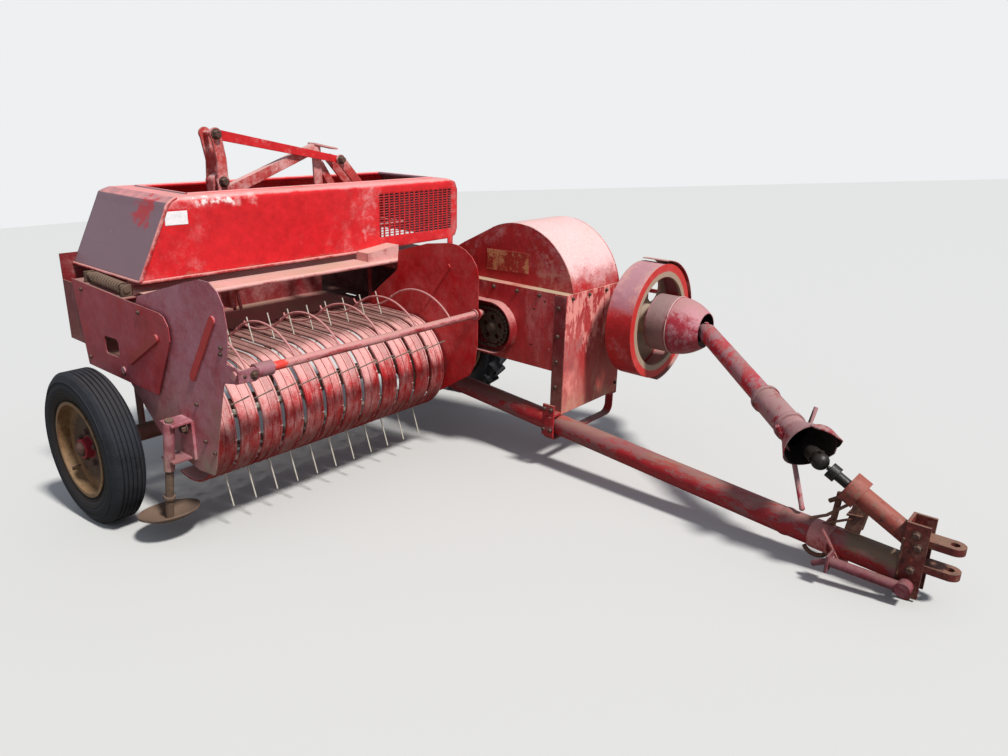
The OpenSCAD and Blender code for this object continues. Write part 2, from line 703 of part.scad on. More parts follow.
// Bands over the reel on one rear beam, beaded along their edges
module pickup_bands() {
    w = band_pitch - band_slot;
    color(red) park() {
        for (i = [0 : bands - 1]) {
            x = band_x0 + (i + 0.5) * band_pitch;
            translate([0, reel_y, reel_z]) {
                along_x(x - w / 2, x + w / 2) band_ring(band_r, 4);
                for (d = [-w / 2 + 6, 0, w / 2 - 6]) along_x(x + d - 4, x + d + 4) band_ring(band_r + 4, 5);
            }
        }
        translate([plate_x + 4 + seat, reel_y + 372 - 1, reel_z + band_r - 40]) cube([left_x - plate_x - 4 - 2 * seat, 8, 40]);
    }
}
module band_ring(r, t) {
    difference() {
        union() {
            circle(r, $fn = 96);
            translate([0, r - t]) square([372, t]);
        }
        circle(r - t, $fn = 96);
        intersection() {
            rotate(-72) square([500, 500]);
            translate([0, -500]) square([500, 500 + r - t]);
        }
        translate([0, -100]) square([500, 100 + r - t]);
    }
}

// Float spring between the side panel and the feeder floor
module lift_spring() {
    color(rust) park() translate([panel_x + 4, -120, 962]) rotate([2, 0, 0]) {
        for (k = [0 : 11]) translate([30, 60 + k * 21, 34]) rotate([90, 0, 0]) rotate_extrude() translate([20, 0]) circle(5);
        rod([30, 20, 34], [30, 360, 34], 15.2);
        for (y = [24, 344]) translate([8, y, 4 + seat]) cube([44, 8, 48]);
    }
}

// Reel: shaft, spiders, tine bars and tines
bars = [[240, 250], [150, 152], [60, 70], [330, 336]];
module reel() {
    color(rust) park() translate([0, reel_y, reel_z]) {
        disc_x(0, 0, 24, plate_x + 0.5, left_x + 3.5);
        for (x = [band_x0 + 20, band_x0 + bands * band_pitch / 2 - 30, left_x - 40]) {
            disc_x(0, 0, 60, x, x + 10);
            for (b = bars) translate([x, 0, 0]) rotate([b[0], 0, 0]) translate([0, 20, -18]) cube([8, 125, 36]);
        }
        for (b = bars) {
            c = [140 * cos(b[0]), 140 * sin(b[0])];
            disc_x(c[0], c[1], 11, band_x0 + 14, left_x - 24);
            t = [cos(b[1]), sin(b[1])];
            reach = -(c * t) + sqrt((c * t) * (c * t) - c * c + tine_reach * tine_reach);
            for (i = [1 : bands - 1]) {
                x = band_x0 + i * band_pitch;
                rod([x, c[0], c[1]], [x, c[0] + reach * t[0], c[1] + reach * t[1]], tine_d / 2);
            }
        }
    }
}

// Windguard: pipe in end forks with curved rods over the reel
module windguard() {
    color(faded) park() {
        disc_x(guard_y, guard_z, 17, plate_x - 8, left_x + 34);
        disc_x(guard_y, guard_z, 24, plate_x + 10, plate_x + 18);
        disc_x(guard_y, guard_z, 24, left_x - 14, left_x - 6);
        for (i = [0 : guard_rods - 1]) rod_arc(band_x0 + (i * 2 + 0.5) * band_pitch);
    }
}
// Three arcs joined by short sleeves: over the reel, down, and the turned-up tip
module rod_arc(x) {
    t = 4.5;
    a = 51.8;
    b = 275.2;
    c1 = [-655, 640];
    c2 = c1 + 639 * [cos(a), sin(a)];
    c3 = c2 + 332 * [cos(b), sin(b)];
    translate([x, 0, 0]) rotate([90, 0, 90]) {
        arc(c1[0], c1[1], 279, a + 0.4, 142, t);
        arc(c2[0], c2[1], 360, a + 180.3, b - 0.3, t);
        arc(c3[0], c3[1], 28, b + 3, 345, t);
        for (p = [[c1 + 279 * [cos(a), sin(a)], a], [c2 + 360 * [cos(b), sin(b)], b]])
            translate(p[0]) rotate(p[1] + 90) rotate([0, 90, 0]) translate([0, 0, -7]) cylinder(r = t + 1.5, h = 14);
    }
}
// Bent round bar about a centre in the side view, from angle a to angle b
module arc(y, z, r, a, b, t) {
    translate([y, z]) rotate(a) rotate_extrude(angle = b - a) translate([r, 0]) circle(t);
}

// Upright tube for the skid, carried by the right-hand plate
skid_top = [plate_x - 82, -530, 582];
skid_dir = [0, 80, -410] / norm([80, 410]);
module skid_mount() {
    translate([plate_x - 90, -560, 556]) cube([90.1, 90, 8]);
    translate([plate_x - 90, -540, 400]) cube([90.1, 90, 8]);
    translate([plate_x - 12, -560, 400]) cube([12.1, 90, 160]);
    rod(skid_top + 10 * skid_dir, skid_top + 225 * skid_dir, 21);
}

// Skid: round bar with a stop ring and a dished foot
module skid() {
    color(rust) park() {
        rod(skid_top, skid_top + 454 * skid_dir, 16);
        rod(skid_top + 348 * skid_dir, skid_top + 360 * skid_dir, 22);
        translate([plate_x - 82, -448, 160]) rotate([-11, 0, 0]) difference() {
            intersection() {
                translate([0, 0, 180]) sphere(r = 210);
                translate([0, 0, -40]) cylinder(r = 118, h = 60);
            }
            translate([0, 0, 184]) sphere(r = 206);
        }
    }
}

// Tongue pipe from its pivot eye to the bend, then on to the hitch bracket
module tongue() {
    r = tongue_d / 2;
    a = [tong_x, tong_y, tong_z];
    u = (bend - a) / norm(bend - a);
    color(red) park() {
        difference() {
            union() {
                tube(a + 28 * u, bend, r, 7);
                tube(bend, [hitch_x, -2865, 376.5], r, 7);
                translate([tong_x, tong_y, tong_z - 37]) cylinder(r = 56, h = 74);
            }
            translate([tong_x, tong_y, tong_z - 100]) cylinder(r = 20 + run, h = 200);
            for (z = [tong_z - 62, tong_z + 37]) translate([tong_x, tong_y, z]) cylinder(r = 90, h = 25);
            translate([hitch_x - 100, -2945, 300]) cube([200, 100 + seat, 160]);
        }
        translate(bend) sphere(r = r + 3);
    }
}

// Hitch bracket with two pierced tangs, a foot shoe and the front shield tube
module hitch() {
    y0 = -2915;
    color(rust) park() {
        difference() {
            union() {
                for (x = [hitch_x - 44, hitch_x + 34]) translate([x, y0, foot_z]) cube([10, 70, 555 - foot_z]);
                translate([hitch_x - 40, -2855, foot_z]) cube([80, 10, 555 - foot_z]);
                disc_x(foot_y, foot_z, foot_r, hitch_x - 44, hitch_x + 44);
                for (s = [-1, 1]) translate([0, 0, tang_z + s * (tang_gap + tang_t) / 2 - tang_t / 2]) {
                    translate([hitch_x - eye_r, pin_y, 0]) cube([2 * eye_r, -2850 - pin_y, tang_t]);
                    translate([hitch_x, pin_y, 0]) cylinder(r = eye_r, h = tang_t);
                }
            }
            translate([hitch_x, pin_y, tang_z - 100]) cylinder(d = pin_d, h = 200);
            rod(joint + 200 * shaft_dir, joint + 420 * shaft_dir, 32);
        }
        tube(joint + 160 * shaft_dir, joint + 345 * shaft_dir, 34, 4);
        tube(joint + 112 * shaft_dir, joint + 164 * shaft_dir, 52, 5);
        difference() {
            rod(joint + 156 * shaft_dir, joint + 162 * shaft_dir, 50);
            rod(joint + 150 * shaft_dir, joint + 170 * shaft_dir, 32);
        }
        difference() {
            rod(joint + 280 * shaft_dir, joint + 300 * shaft_dir, 32);
            rod(joint + 270 * shaft_dir, joint + 310 * shaft_dir, 17 + run);
        }
    }
}

// Front shaft in the shield tube
module pto_stub() {
    color(steel) park() {
        rod(joint + 38 * shaft_dir, joint + 310 * shaft_dir, 17);
        rod(joint + 38 * shaft_dir, joint + 70 * shaft_dir, 27);
        rod(joint + (30 + seat) * shaft_dir, joint + 39 * shaft_dir, 8);
    }
}

// Joint between the front shaft and the sliding shaft in the flare
module shaft_yoke() {
    color(steel) park() {
        translate(joint) sphere(r = 30);
        rod(joint, joint - 90 * dir, 17);
        rod(joint - 24 * dir, joint - 62 * dir, 27);
        translate(joint) cylinder(r = 9, h = 36);
    }
}

// Folding stand beside the tongue's end
module hitch_stand() {
    color(rust) park() {
        x = hitch_x - 78;
        rod([x, -2880, 350], [x, -2650, 352], 17);
        disc_x(-2880, 350, 24, x - 20, x + 20);
        translate([x - 30, -2656, 322]) cube([60, 8, 60]);
        rod([x, -2650, 352], [x + 12, -2600, 318], 10);
        disc_x(-2880, 350, 12, x, hitch_x - 44 - seat);
    }
}

// Driveline: rear tube from the bell, and the sliding sleeve with its flare
dir = (joint - [drive_x, bell_y, drive_z]) / norm(joint - [drive_x, bell_y, drive_z]);
start = [drive_x, bell_y, drive_z];
span = norm(joint - start);
module driveline() {
    color(red) park() {
        tube(start + 20 * dir, start + 745 * dir, tube_r, 4);
        rod(start + 10 * dir, start + 700 * dir, 17);
        translate(start) sphere(r = 34);
        translate(start - [0, 0, 38]) cylinder(r = 10, h = 76);
        difference() {
            rod(start + 20 * dir, start + 30 * dir, tube_r - 1);
            rod(start + 0 * dir, start + 50 * dir, 10);
        }
    }
}
flare_h = 111;
module driveline_sleeve() {
    e = start + (span - 70) * dir;
    color(red) park() {
        tube(start + 640 * dir, e - 110 * dir, tube_r + 9, 4);
        tube(start + 636 * dir, start + 652 * dir, tube_r + 14, 14 - run);
        translate(e - flare_h * dir) rotate([0, acos(dir[2]), atan2(dir[1], dir[0])]) {
            difference() {
                cylinder(r1 = tube_r + 9, r2 = 96, h = flare_h);
                translate([0, 0, -0.01]) cylinder(r1 = tube_r + 5, r2 = 92, h = flare_h + 0.02);
                translate([20, -150, flare_h]) rotate([0, 28, 0]) cube([200, 300, 120]);
            }
            intersection() {
                difference() {
                    translate([0, 0, flare_h - 4]) cylinder(r = 98, h = 80);
                    translate([0, 0, flare_h - 5]) cylinder(r = 94, h = 82);
                }
                rotate(140) translate([60, 0, 0]) rotate([90, 0, 90]) linear_extrude(60)
                    polygon([[-78, flare_h - 10], [78, flare_h - 10], [66, flare_h + 22], [14, flare_h + 70], [-8, flare_h + 60], [-60, flare_h + 14]]);
            }
        }
        rest();
    }
}

// V rest under the sleeve: two bent prongs on one stem that ends just above the tongue
rest_v = [-402, -2430, 560];
module rest() {
    stem = [-470, -2500, 436];
    difference() {
        union() {
            rod(stem, rest_v, 9);
            translate(rest_v) sphere(r = 10);
            rod(rest_v, [-500, -2385, 720], 8);
            rod(rest_v, [-292, -2440, 745], 8);
            translate(stem) sphere(r = 10);
            tube(start + 838 * dir, start + 856 * dir, tube_r + 15, 6.5);
            rod(rest_v, start + 846 * dir, 7);
        }
        rod(start + 800 * dir, start + 900 * dir, tube_r + 8);
    }
}

// Steel disc wheels
module wheel_disc(c, s) {
    difference() {
        disc_x(0, axle_z, rim_r - 10, c - 60, c + 60);
        disc_x(0, axle_z, rim_r - 16, c - 61, c + 61);
    }
    for (x = [c - 64, c + 58]) difference() {
        disc_x(0, axle_z, rim_r, x, x + 6);
        disc_x(0, axle_z, rim_r - 15, x - 1, x + 7);
    }
    difference() {
        disc_x(0, axle_z, rim_r - 14, c + s * 14 - 4, c + s * 14 + 4);
        disc_x(0, axle_z, 19.06, c - 80, c + 80);
        for (k = [0 : 4]) translate([c - 40, 0, axle_z]) rotate([k * 72, 0, 0])
            translate([0, 0, 70]) rotate([0, 90, 0]) cylinder(r = 8, h = 80);
    }
    difference() {
        disc_x(0, axle_z, 42, c - 50, c + 50);
        disc_x(0, axle_z, 19 + run, c - 51, c + 51);
    }
}
module wheel_right() { color(tan) park() wheel_disc(right_c, -1); }
module wheel_left() { color(tan) park() wheel_disc(left_c, 1); }

// Tyres: ribbed on the right, lugged on the left
module tyre_ring(c, r) {
    translate([c, 0, axle_z]) rotate([0, 90, 0]) rotate_extrude($fn = 96) tyre_view(r);
}
module tyre_view(r) {
    w = tyre_w / 2;
    difference() {
        union() {
            polygon([[rim_r - 9.5, -52], [rim_r + 4, -57], [rim_r + 30, -w + 4], [rim_r + 58, -w], [r - 34, -w + 4], [r - 12, -w + 14],
                [r, -w + 26], [r, w - 26], [r - 12, w - 14], [r - 34, w - 4], [rim_r + 58, w], [rim_r + 30, w - 4], [rim_r + 4, 57], [rim_r - 9.5, 52]]);
        }
        polygon([[rim_r - 20, -48], [rim_r + 4, -48], [rim_r + 30, -w + 16], [r - 40, -w + 16], [r - 16, -w + 40],
            [r - 16, w - 40], [r - 40, w - 16], [rim_r + 30, w - 16], [rim_r + 4, 48], [rim_r - 20, 48]]);
    }
}
module tyre_right() {
    color(rubber) park() difference() {
        tyre_ring(right_c, tyre_r);
        for (x = [-36, -18, 0, 18, 36]) translate([right_c + x, 0, axle_z]) rotate([0, 90, 0])
            rotate_extrude() translate([tyre_r - 7, -2.5]) square([20, 5]);
    }
}
module tyre_left() {
    color(rubber) park() {
        tyre_ring(left_c, tyre_r - 18);
        intersection() {
            translate([left_c, 0, axle_z]) for (k = [0 : lugs - 1]) for (s = [-1, 1])
                rotate([(k + s * 0.25) * 360 / lugs, 0, 0]) translate([s * 34, 0, tyre_r - 14])
                    rotate([0, 0, s * 40]) cube([84, 26, 44], center = true);
            disc_x(0, axle_z, tyre_r, left_c - tyre_w / 2 + 2, left_c + tyre_w / 2 - 2);
        }
    }
}

axle();
side_panel();
plunger_case();
crank_arch();
gearbox();
bale_chamber();
chamber_rails();
tension_gear();
feeder_house();
shelf();
hood();
feeder_stays();
feeder_rocker();
feeder_bar();
feeder_arm();
chain_guard();
drive_chain();
drive_sprocket();
flywheel();
flywheel_guard();
pto_bell();
tongue_latch();
plunger();
knotter();
needle_yoke();
star_wheel();
twine_box();
twine_lid();
pickup_plate_right();
pickup_plate_left();
pickup_bands();
lift_spring();
reel();
windguard();
skid();
tongue();
hitch();
pto_stub();
shaft_yoke();
hitch_stand();
driveline();
driveline_sleeve();
wheel_right();
tyre_right();
wheel_left();
tyre_left();
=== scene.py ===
import math

import bpy
import numpy as np
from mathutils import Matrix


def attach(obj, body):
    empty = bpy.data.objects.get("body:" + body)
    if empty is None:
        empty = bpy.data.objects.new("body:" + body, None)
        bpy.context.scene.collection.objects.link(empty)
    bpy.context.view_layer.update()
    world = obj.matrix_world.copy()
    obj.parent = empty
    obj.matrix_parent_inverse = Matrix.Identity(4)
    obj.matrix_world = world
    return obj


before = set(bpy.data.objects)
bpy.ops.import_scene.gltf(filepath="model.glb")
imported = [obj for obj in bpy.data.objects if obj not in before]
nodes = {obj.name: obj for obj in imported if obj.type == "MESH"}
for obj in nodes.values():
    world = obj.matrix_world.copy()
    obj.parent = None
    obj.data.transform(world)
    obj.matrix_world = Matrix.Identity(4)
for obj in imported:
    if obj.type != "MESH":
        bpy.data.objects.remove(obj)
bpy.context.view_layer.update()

# Hood: pressed sheet with rolled hems, sprayed bright red. Its sunlit front kept the colour, the top has
# bleached to pink and the end has faded to a greyish mauve, painted darker as shade because the sun barely
# reaches it. A knock has crazed the paint along the top edge.
# The parked machine is pitched nose down: sizes here are mm of the level machine until park() moves them.
PITCH = math.radians(5.574683)
SHIFT = (633.5, 606.7505, -10.3919)
MM_PER_M = 1000


def park(points):
    """Level machine in mm to the parked one in m: turned about X by the pitch, then moved by the shift."""
    p = np.asarray(points, float)
    y = p[..., 1] * math.cos(PITCH) - p[..., 2] * math.sin(PITCH)
    z = p[..., 1] * math.sin(PITCH) + p[..., 2] * math.cos(PITCH)
    return (np.stack([p[..., 0], y, z], -1) + SHIFT) / MM_PER_M


def linear(hex_colour):
    """sRGB hex colour to linear RGBA: c/12.92 up to 0.04045, else ((c + 0.055) / 1.055) to the power 2.4."""
    c = np.array([int(hex_colour[i : i + 2], 16) for i in (1, 3, 5)]) / 255
    c = np.where(c <= 0.04045, c / 12.92, ((c + 0.055) / 1.055) ** 2.4)
    return (*c, 1.0)


def add(tree, kind, inputs=None, **settings):
    """Adds a shader node, sets its properties, and fills or links its inputs by name or index."""
    node = tree.nodes.new(kind)
    for key, value in settings.items():
        setattr(node, key, value)
    for key, value in (inputs or {}).items():
        if isinstance(value, bpy.types.NodeSocket):
            tree.links.new(value, node.inputs[key])
        else:
            node.inputs[key].default_value = value
    return node


def enamel(name, base, chalk, rust, dust, chalked=0.3, sky=0.4, crisp=0.5, rusting=0.3, dusting=0.3,
           low=0.0, edges=0.5, grain=1.0, along=(1, 1, 1), turn=(0, 0, 0), rough=0.5, soft=0.004):
    """Old sprayed enamel on sheet or bar, or another weathered skin made the same way. Pigment chalks to a
    pale tone in patches 300 mm across broken up by blotches of 55 mm, more where the sky reaches it. Rust
    breaks through in specks of 7 mm and along edges rounded by soft. Dust lies on what faces up and, by low,
    on what is near the ground. Grain makes patches and blotches smaller, along and turn stretch them. Chalk
    mask: ramp of 1.5 patch + 1.1 blotch + 0.35 speck + sky x upward normal about its middle, narrowed by
    crisp."""
    material = bpy.data.materials.new(name)
    material.use_nodes = True
    tree = material.node_tree
    shader = tree.nodes["Principled BSDF"]
    shader.inputs["Specular IOR Level"].default_value = 0.3
    deep_share = 0.4
    deep = tuple(deep_share * v for v in linear(base)[:3]) + (1.0,)
    mask_mean = 1.25
    half_width = 0.56 - 0.58 * crisp
    middle = 0.48
    full_chalk = 0.93
    rust_start = 1.08 - 0.36 * rusting
    rust_ramp = 0.08

    # Noise of three sizes, laid in the level machine's metres
    where = add(tree, "ShaderNodeTexCoord")
    x, y, z = (-v / MM_PER_M for v in SHIFT)
    origin = (x, y * math.cos(PITCH) + z * math.sin(PITCH), z * math.cos(PITCH) - y * math.sin(PITCH))
    level = add(tree, "ShaderNodeMapping", {0: where.outputs["Object"], 1: origin, 2: (-PITCH, 0, 0)},
                name="Level")
    lay = add(tree, "ShaderNodeMapping", {0: level.outputs[0], 2: turn, 3: along})
    patch = add(tree, "ShaderNodeTexNoise",
                {"Vector": lay.outputs[0], "Scale": 3.2 * grain, "Detail": 6.0, "Roughness": 0.6,
                 "Distortion": 0.5})
    blotch = add(tree, "ShaderNodeTexNoise",
                 {"Vector": lay.outputs[0], "Scale": 18.0 * grain, "Detail": 7.0, "Roughness": 0.7})
    speck = add(tree, "ShaderNodeTexNoise",
                {"Vector": level.outputs[0], "Scale": 150.0, "Detail": 3.0, "Roughness": 0.6})
    wide = add(tree, "ShaderNodeSeparateColor", {0: patch.outputs[1]})
    fine = add(tree, "ShaderNodeSeparateColor", {0: blotch.outputs[1]}, name="Fine")

    # Chalk over the pigment
    up = add(tree, "ShaderNodeSeparateXYZ", {0: where.outputs["Normal"]})
    lit = add(tree, "ShaderNodeMapRange", {0: up.outputs[2], 1: 0.0, 2: 0.9, 3: 0.0, 4: sky},
              interpolation_type="SMOOTHSTEP")
    by_patch = add(tree, "ShaderNodeMath", {0: wide.outputs[0], 1: 1.5, 2: chalked - mask_mean},
                   operation="MULTIPLY_ADD")
    by_blotch = add(tree, "ShaderNodeMath", {0: fine.outputs[0], 1: 1.1, 2: by_patch.outputs[0]},
                    operation="MULTIPLY_ADD")
    by_speck = add(tree, "ShaderNodeMath", {0: speck.outputs[0], 1: 0.35, 2: by_blotch.outputs[0]},
                   operation="MULTIPLY_ADD")
    value = add(tree, "ShaderNodeMath", {0: by_speck.outputs[0], 1: lit.outputs[0]}, operation="ADD")
    bare = add(tree, "ShaderNodeMapRange",
               {0: value.outputs[0], 1: middle - half_width, 2: middle + half_width, 3: 0.0, 4: full_chalk},
               interpolation_type="SMOOTHSTEP")
    shade = add(tree, "ShaderNodeMapRange", {0: fine.outputs[1], 1: 0.32, 2: 0.68, 3: 0.5, 4: 0.0})
    tone = add(tree, "ShaderNodeMix", {0: shade.outputs[0], 6: linear(base), 7: deep}, data_type="RGBA")
    pale = add(tree, "ShaderNodeMapRange", {0: speck.outputs[0], 1: 0.3, 2: 0.7, 3: 0.3, 4: 0.0})
    chalky = add(tree, "ShaderNodeMix", {0: pale.outputs[0], 6: linear(chalk), 7: linear(base)},
                 data_type="RGBA")
    paint = add(tree, "ShaderNodeMix", {0: bare.outputs[0], 6: tone.outputs[2], 7: chalky.outputs[2]},
                data_type="RGBA")

    # Rust in specks and along the edges, which a rounded normal finds
    rub = add(tree, "ShaderNodeMath", {0: speck.outputs[0], 1: 0.5, 2: fine.outputs[2]},
              operation="MULTIPLY_ADD")
    rounded = add(tree, "ShaderNodeBevel", {0: soft}, samples=4)
    plain = add(tree, "ShaderNodeNewGeometry")
    bend = add(tree, "ShaderNodeVectorMath", {0: rounded.outputs[0], 1: plain.outputs["Normal"]},
               operation="DOT_PRODUCT")
    edge = add(tree, "ShaderNodeMapRange",
               {0: bend.outputs["Value"], 1: 0.99, 2: 0.85, 3: 0.0, 4: 0.32 * edges})
    rubbed = add(tree, "ShaderNodeMath", {0: rub.outputs[0], 1: edge.outputs[0]}, operation="ADD")
    rusty = add(tree, "ShaderNodeMapRange",
                {0: rubbed.outputs[0], 1: rust_start, 2: rust_start + rust_ramp, 3: 0.0, 4: 0.85})
    worn = add(tree, "ShaderNodeMix", {0: rusty.outputs[0], 6: paint.outputs[2], 7: linear(rust)},
               data_type="RGBA")

    # Dust on top, and mud from 0.85 m down to 0.3 m above the ground
    settle = add(tree, "ShaderNodeMapRange", {0: up.outputs[2], 1: 0.3, 2: 1.0, 3: 0.0, 4: dusting},
                 interpolation_type="SMOOTHSTEP")
    height = add(tree, "ShaderNodeSeparateXYZ", {0: level.outputs[0]})
    mud = add(tree, "ShaderNodeMapRange", {0: height.outputs[2], 1: 0.85, 2: 0.3, 3: 0.0, 4: low},
              interpolation_type="SMOOTHSTEP")
    both = add(tree, "ShaderNodeMath", {0: settle.outputs[0], 1: mud.outputs[0]}, operation="ADD")
    lies = add(tree, "ShaderNodeMapRange", {0: wide.outputs[2], 1: 0.38, 2: 0.62, 3: 0.25, 4: 1.6})
    dusty = add(tree, "ShaderNodeMath", {0: both.outputs[0], 1: lies.outputs[0]}, operation="MULTIPLY",
                use_clamp=True)
    film = add(tree, "ShaderNodeMix", {0: dusty.outputs[0], 6: worn.outputs[2], 7: linear(dust)},
               data_type="RGBA")

    # Chalk and rust are duller than pigment. Sheet is wavy by up to 10 mm, rust swells by up to 1.2 mm.
    dull = add(tree, "ShaderNodeMapRange",
               {0: bare.outputs[0], 1: 0.0, 2: full_chalk, 3: rough - 0.12, 4: rough + 0.12})
    gloss = add(tree, "ShaderNodeMix", {0: rusty.outputs[0], 2: dull.outputs[0], 3: 0.92},
                data_type="FLOAT")
    wavy = add(tree, "ShaderNodeBump",
               {"Strength": 0.5, "Distance": 0.010, "Height": wide.outputs[1], "Normal": rounded.outputs[0]})
    flaking = add(tree, "ShaderNodeBump",
                  {"Strength": 0.4, "Distance": 0.0012, "Height": rub.outputs[0], "Normal": wavy.outputs[0]})
    tree.links.new(film.outputs[2], shader.inputs["Base Color"])
    tree.links.new(gloss.outputs[0], shader.inputs["Roughness"])
    tree.links.new(flaking.outputs[0], shader.inputs["Normal"])
    return material


def over(material, mask, colour, amount=1.0):
    """Lays a colour over a material's present one where the mask is 1: mix of the two by mask x amount."""
    tree = material.node_tree
    base = tree.nodes["Principled BSDF"].inputs["Base Color"]
    share = add(tree, "ShaderNodeMath", {0: mask, 1: amount}, operation="MULTIPLY", use_clamp=True)
    mix = add(tree, "ShaderNodeMix",
              {0: share.outputs[0], 6: base.links[0].from_socket, 7: linear(colour)}, data_type="RGBA")
    tree.links.new(mix.outputs[2], base)


def area(material, low, high, colour, soft, ragged, amount):
    """Colour inside a box of the level machine, in m: ramp over soft of the greatest of |p - middle| less
    half the size, its outline broken by the blotches by about ragged."""
    tree = material.node_tree
    middle = tuple((a + b) / 2 for a, b in zip(low, high))
    half = tuple((b - a) / 2 for a, b in zip(low, high))
    off = add(tree, "ShaderNodeVectorMath", {0: tree.nodes["Level"].outputs[0], 1: middle},
              operation="SUBTRACT")
    size = add(tree, "ShaderNodeVectorMath", {0: off.outputs[0]}, operation="ABSOLUTE")
    past = add(tree, "ShaderNodeVectorMath", {0: size.outputs[0], 1: half}, operation="SUBTRACT")
    each = add(tree, "ShaderNodeSeparateXYZ", {0: past.outputs[0]})
    most = add(tree, "ShaderNodeMath", {0: each.outputs[0], 1: each.outputs[1]}, operation="MAXIMUM")
    far = add(tree, "ShaderNodeMath", {0: most.outputs[0], 1: each.outputs[2]}, operation="MAXIMUM")
    torn = add(tree, "ShaderNodeMath",
               {0: tree.nodes["Fine"].outputs[0], 1: 4 * ragged, 2: far.outputs[0]},
               operation="MULTIPLY_ADD")
    mask = add(tree, "ShaderNodeMapRange",
               {0: torn.outputs[0], 1: 2 * ragged, 2: 2 * ragged - soft, 3: 0.0, 4: 1.0})
    over(material, mask.outputs[0], colour, amount)


def shade_facing(material, way, colour, start, end, amount):
    """Colour on faces that look a given way, used as painted shade on faces the sun misses: ramp from start
    to end of the normal's dot product with it, shaken by half a blotch."""
    tree = material.node_tree
    shake, mean_shake = 0.5, 0.25
    where = add(tree, "ShaderNodeTexCoord")
    dot = add(tree, "ShaderNodeVectorMath", {0: where.outputs["Normal"], 1: way}, operation="DOT_PRODUCT")
    noisy = add(tree, "ShaderNodeMath",
                {0: tree.nodes["Fine"].outputs[2], 1: shake, 2: dot.outputs["Value"]},
                operation="MULTIPLY_ADD")
    mask = add(tree, "ShaderNodeMapRange",
               {0: noisy.outputs[0], 1: start + mean_shake, 2: end + mean_shake, 3: 0.0, 4: 1.0})
    over(material, mask.outputs[0], colour, amount)


def coat(material, *names):
    """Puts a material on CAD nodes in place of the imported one."""
    for name in names:
        nodes[name].data.materials.clear()
        nodes[name].data.materials.append(material)
    return material


def across(axis):
    """Unit vectors along an axis and square to it, u and v, with u x v along it."""
    axis = np.asarray(axis, float)
    axis = axis / np.linalg.norm(axis, axis=-1, keepdims=True)
    lying = np.abs(axis[..., 2:]) < 0.9
    u = np.cross(np.where(lying, (0.0, 0.0, 1.0), (1.0, 0.0, 0.0)), axis)
    u = u / np.linalg.norm(u, axis=-1, keepdims=True)
    return axis, u, np.cross(axis, u)


def pipe(path, radius, sides=10):
    """Tube along a path of points: point + radius x (u cos t + v sin t), u and v square to the path."""
    path = np.asarray(path, float)
    _, u, v = across(np.gradient(path, axis=0))
    t = np.arange(sides) * 2 * math.pi / sides
    ring = u[:, None] * np.cos(t)[:, None] + v[:, None] * np.sin(t)[:, None]
    return path[:, None] + ring * np.broadcast_to(radius, len(path))[:, None, None]


def piece(name, grids, material, body, angle=35):
    """One mesh of closed tubes of level machine points: quads (i, j), (i, j+1), (i+1, j+1), (i+1, j) round
    each grid and one face over each end, rings turned so that faces look outward. Edges sharper than angle
    stay sharp. Rides on a body."""
    points, faces, start = [], [], 0
    for grid in grids:
        m, n = grid.shape[:2]
        lead = grid[-1].mean(0) - grid[0].mean(0)
        spokes = grid[0] - grid[0].mean(0)
        if lead @ np.cross(spokes, np.roll(spokes, -1, 0)).sum(0) < -1e-6:
            grid = grid[:, ::-1]
        i, j = np.meshgrid(np.arange(m - 1), np.arange(n), indexing="ij")
        k = (j + 1) % n
        quads = np.stack([i * n + j, i * n + k, (i + 1) * n + k, (i + 1) * n + j], -1)
        first_end = list(range(start + n - 1, start - 1, -1))
        last_end = list(range(start + (m - 1) * n, start + m * n))
        faces += (quads.reshape(-1, 4) + start).tolist() + [first_end, last_end]
        points.append(park(grid.reshape(-1, 3)))
        start += m * n
    mesh = bpy.data.meshes.new(name)
    mesh.from_pydata(np.concatenate(points).tolist(), [], faces)
    mesh.shade_smooth()
    mesh.set_sharp_from_angle(angle=math.radians(angle))
    mesh.materials.append(material)
    obj = bpy.data.objects.new(name, mesh)
    bpy.context.scene.collection.objects.link(obj)
    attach(obj, body)


right, left, ahead = (-1, 0, 0), (1, 0, 0), (0, -1, 0)
hood_red = coat(
    enamel("Hood enamel, bright with a chalked top", "#e0282d", "#e8a09c", "#6a3527", "#a08472",
           chalked=-0.24, sky=1.1, crisp=0.2, rusting=0.12, dusting=0.25, edges=0.6, rough=0.42, soft=0.016),
    "hood")
# Painted shade on faded paint: the end, which the sun barely reaches, is darkened to grey mauve.
shade_facing(hood_red, right, "#75636a", start=0.3, end=0.6, amount=0.94)
# Marks: lowest and highest corner, colour, softness, raggedness, amount. In order: red patch and grey smear
# on the end, chalk and flaked paint at the knock, run beside the grille, faded left end, dirt at the foot.
hood_marks = [
    ((-1.62, -0.08, 1.24), (-1.40, 0.06, 1.40), "#b52a2b", 0.03, 0.07, 0.8),
    ((-1.62, 0.10, 1.19), (-1.50, 0.20, 1.25), "#a9a9a0", 0.02, 0.03, 0.5),
    ((-1.47, -0.18, 1.300), (-1.02, -0.15, 1.37), "#f3b7b2", 0.03, 0.03, 0.8),
    ((-1.30, -0.18, 1.312), (-1.13, -0.15, 1.337), "#fbe9e2", 0.012, 0.03, 0.95),
    ((-0.42, -0.18, 1.08), (-0.34, -0.165, 1.34), "#e8a4a2", 0.03, 0.05, 0.55),
    ((0.20, -0.18, 1.0), (0.40, -0.10, 1.40), "#c9837f", 0.03, 0.04, 0.6),
    ((-1.7, -0.18, 1.0), (-0.3, -0.165, 1.040), "#a9745f", 0.03, 0.03, 0.7),
]
for mark in hood_marks:
    area(hood_red, *mark)
hem_red = enamel("Hem enamel, worn to bare metal", "#b3272a", "#dc9d96", "#4c3128", "#9a8070",
                 chalked=0.2, sky=0.5, rusting=0.45, edges=0.2, grain=2.0)
hood_x, hood_y = -1572, -171
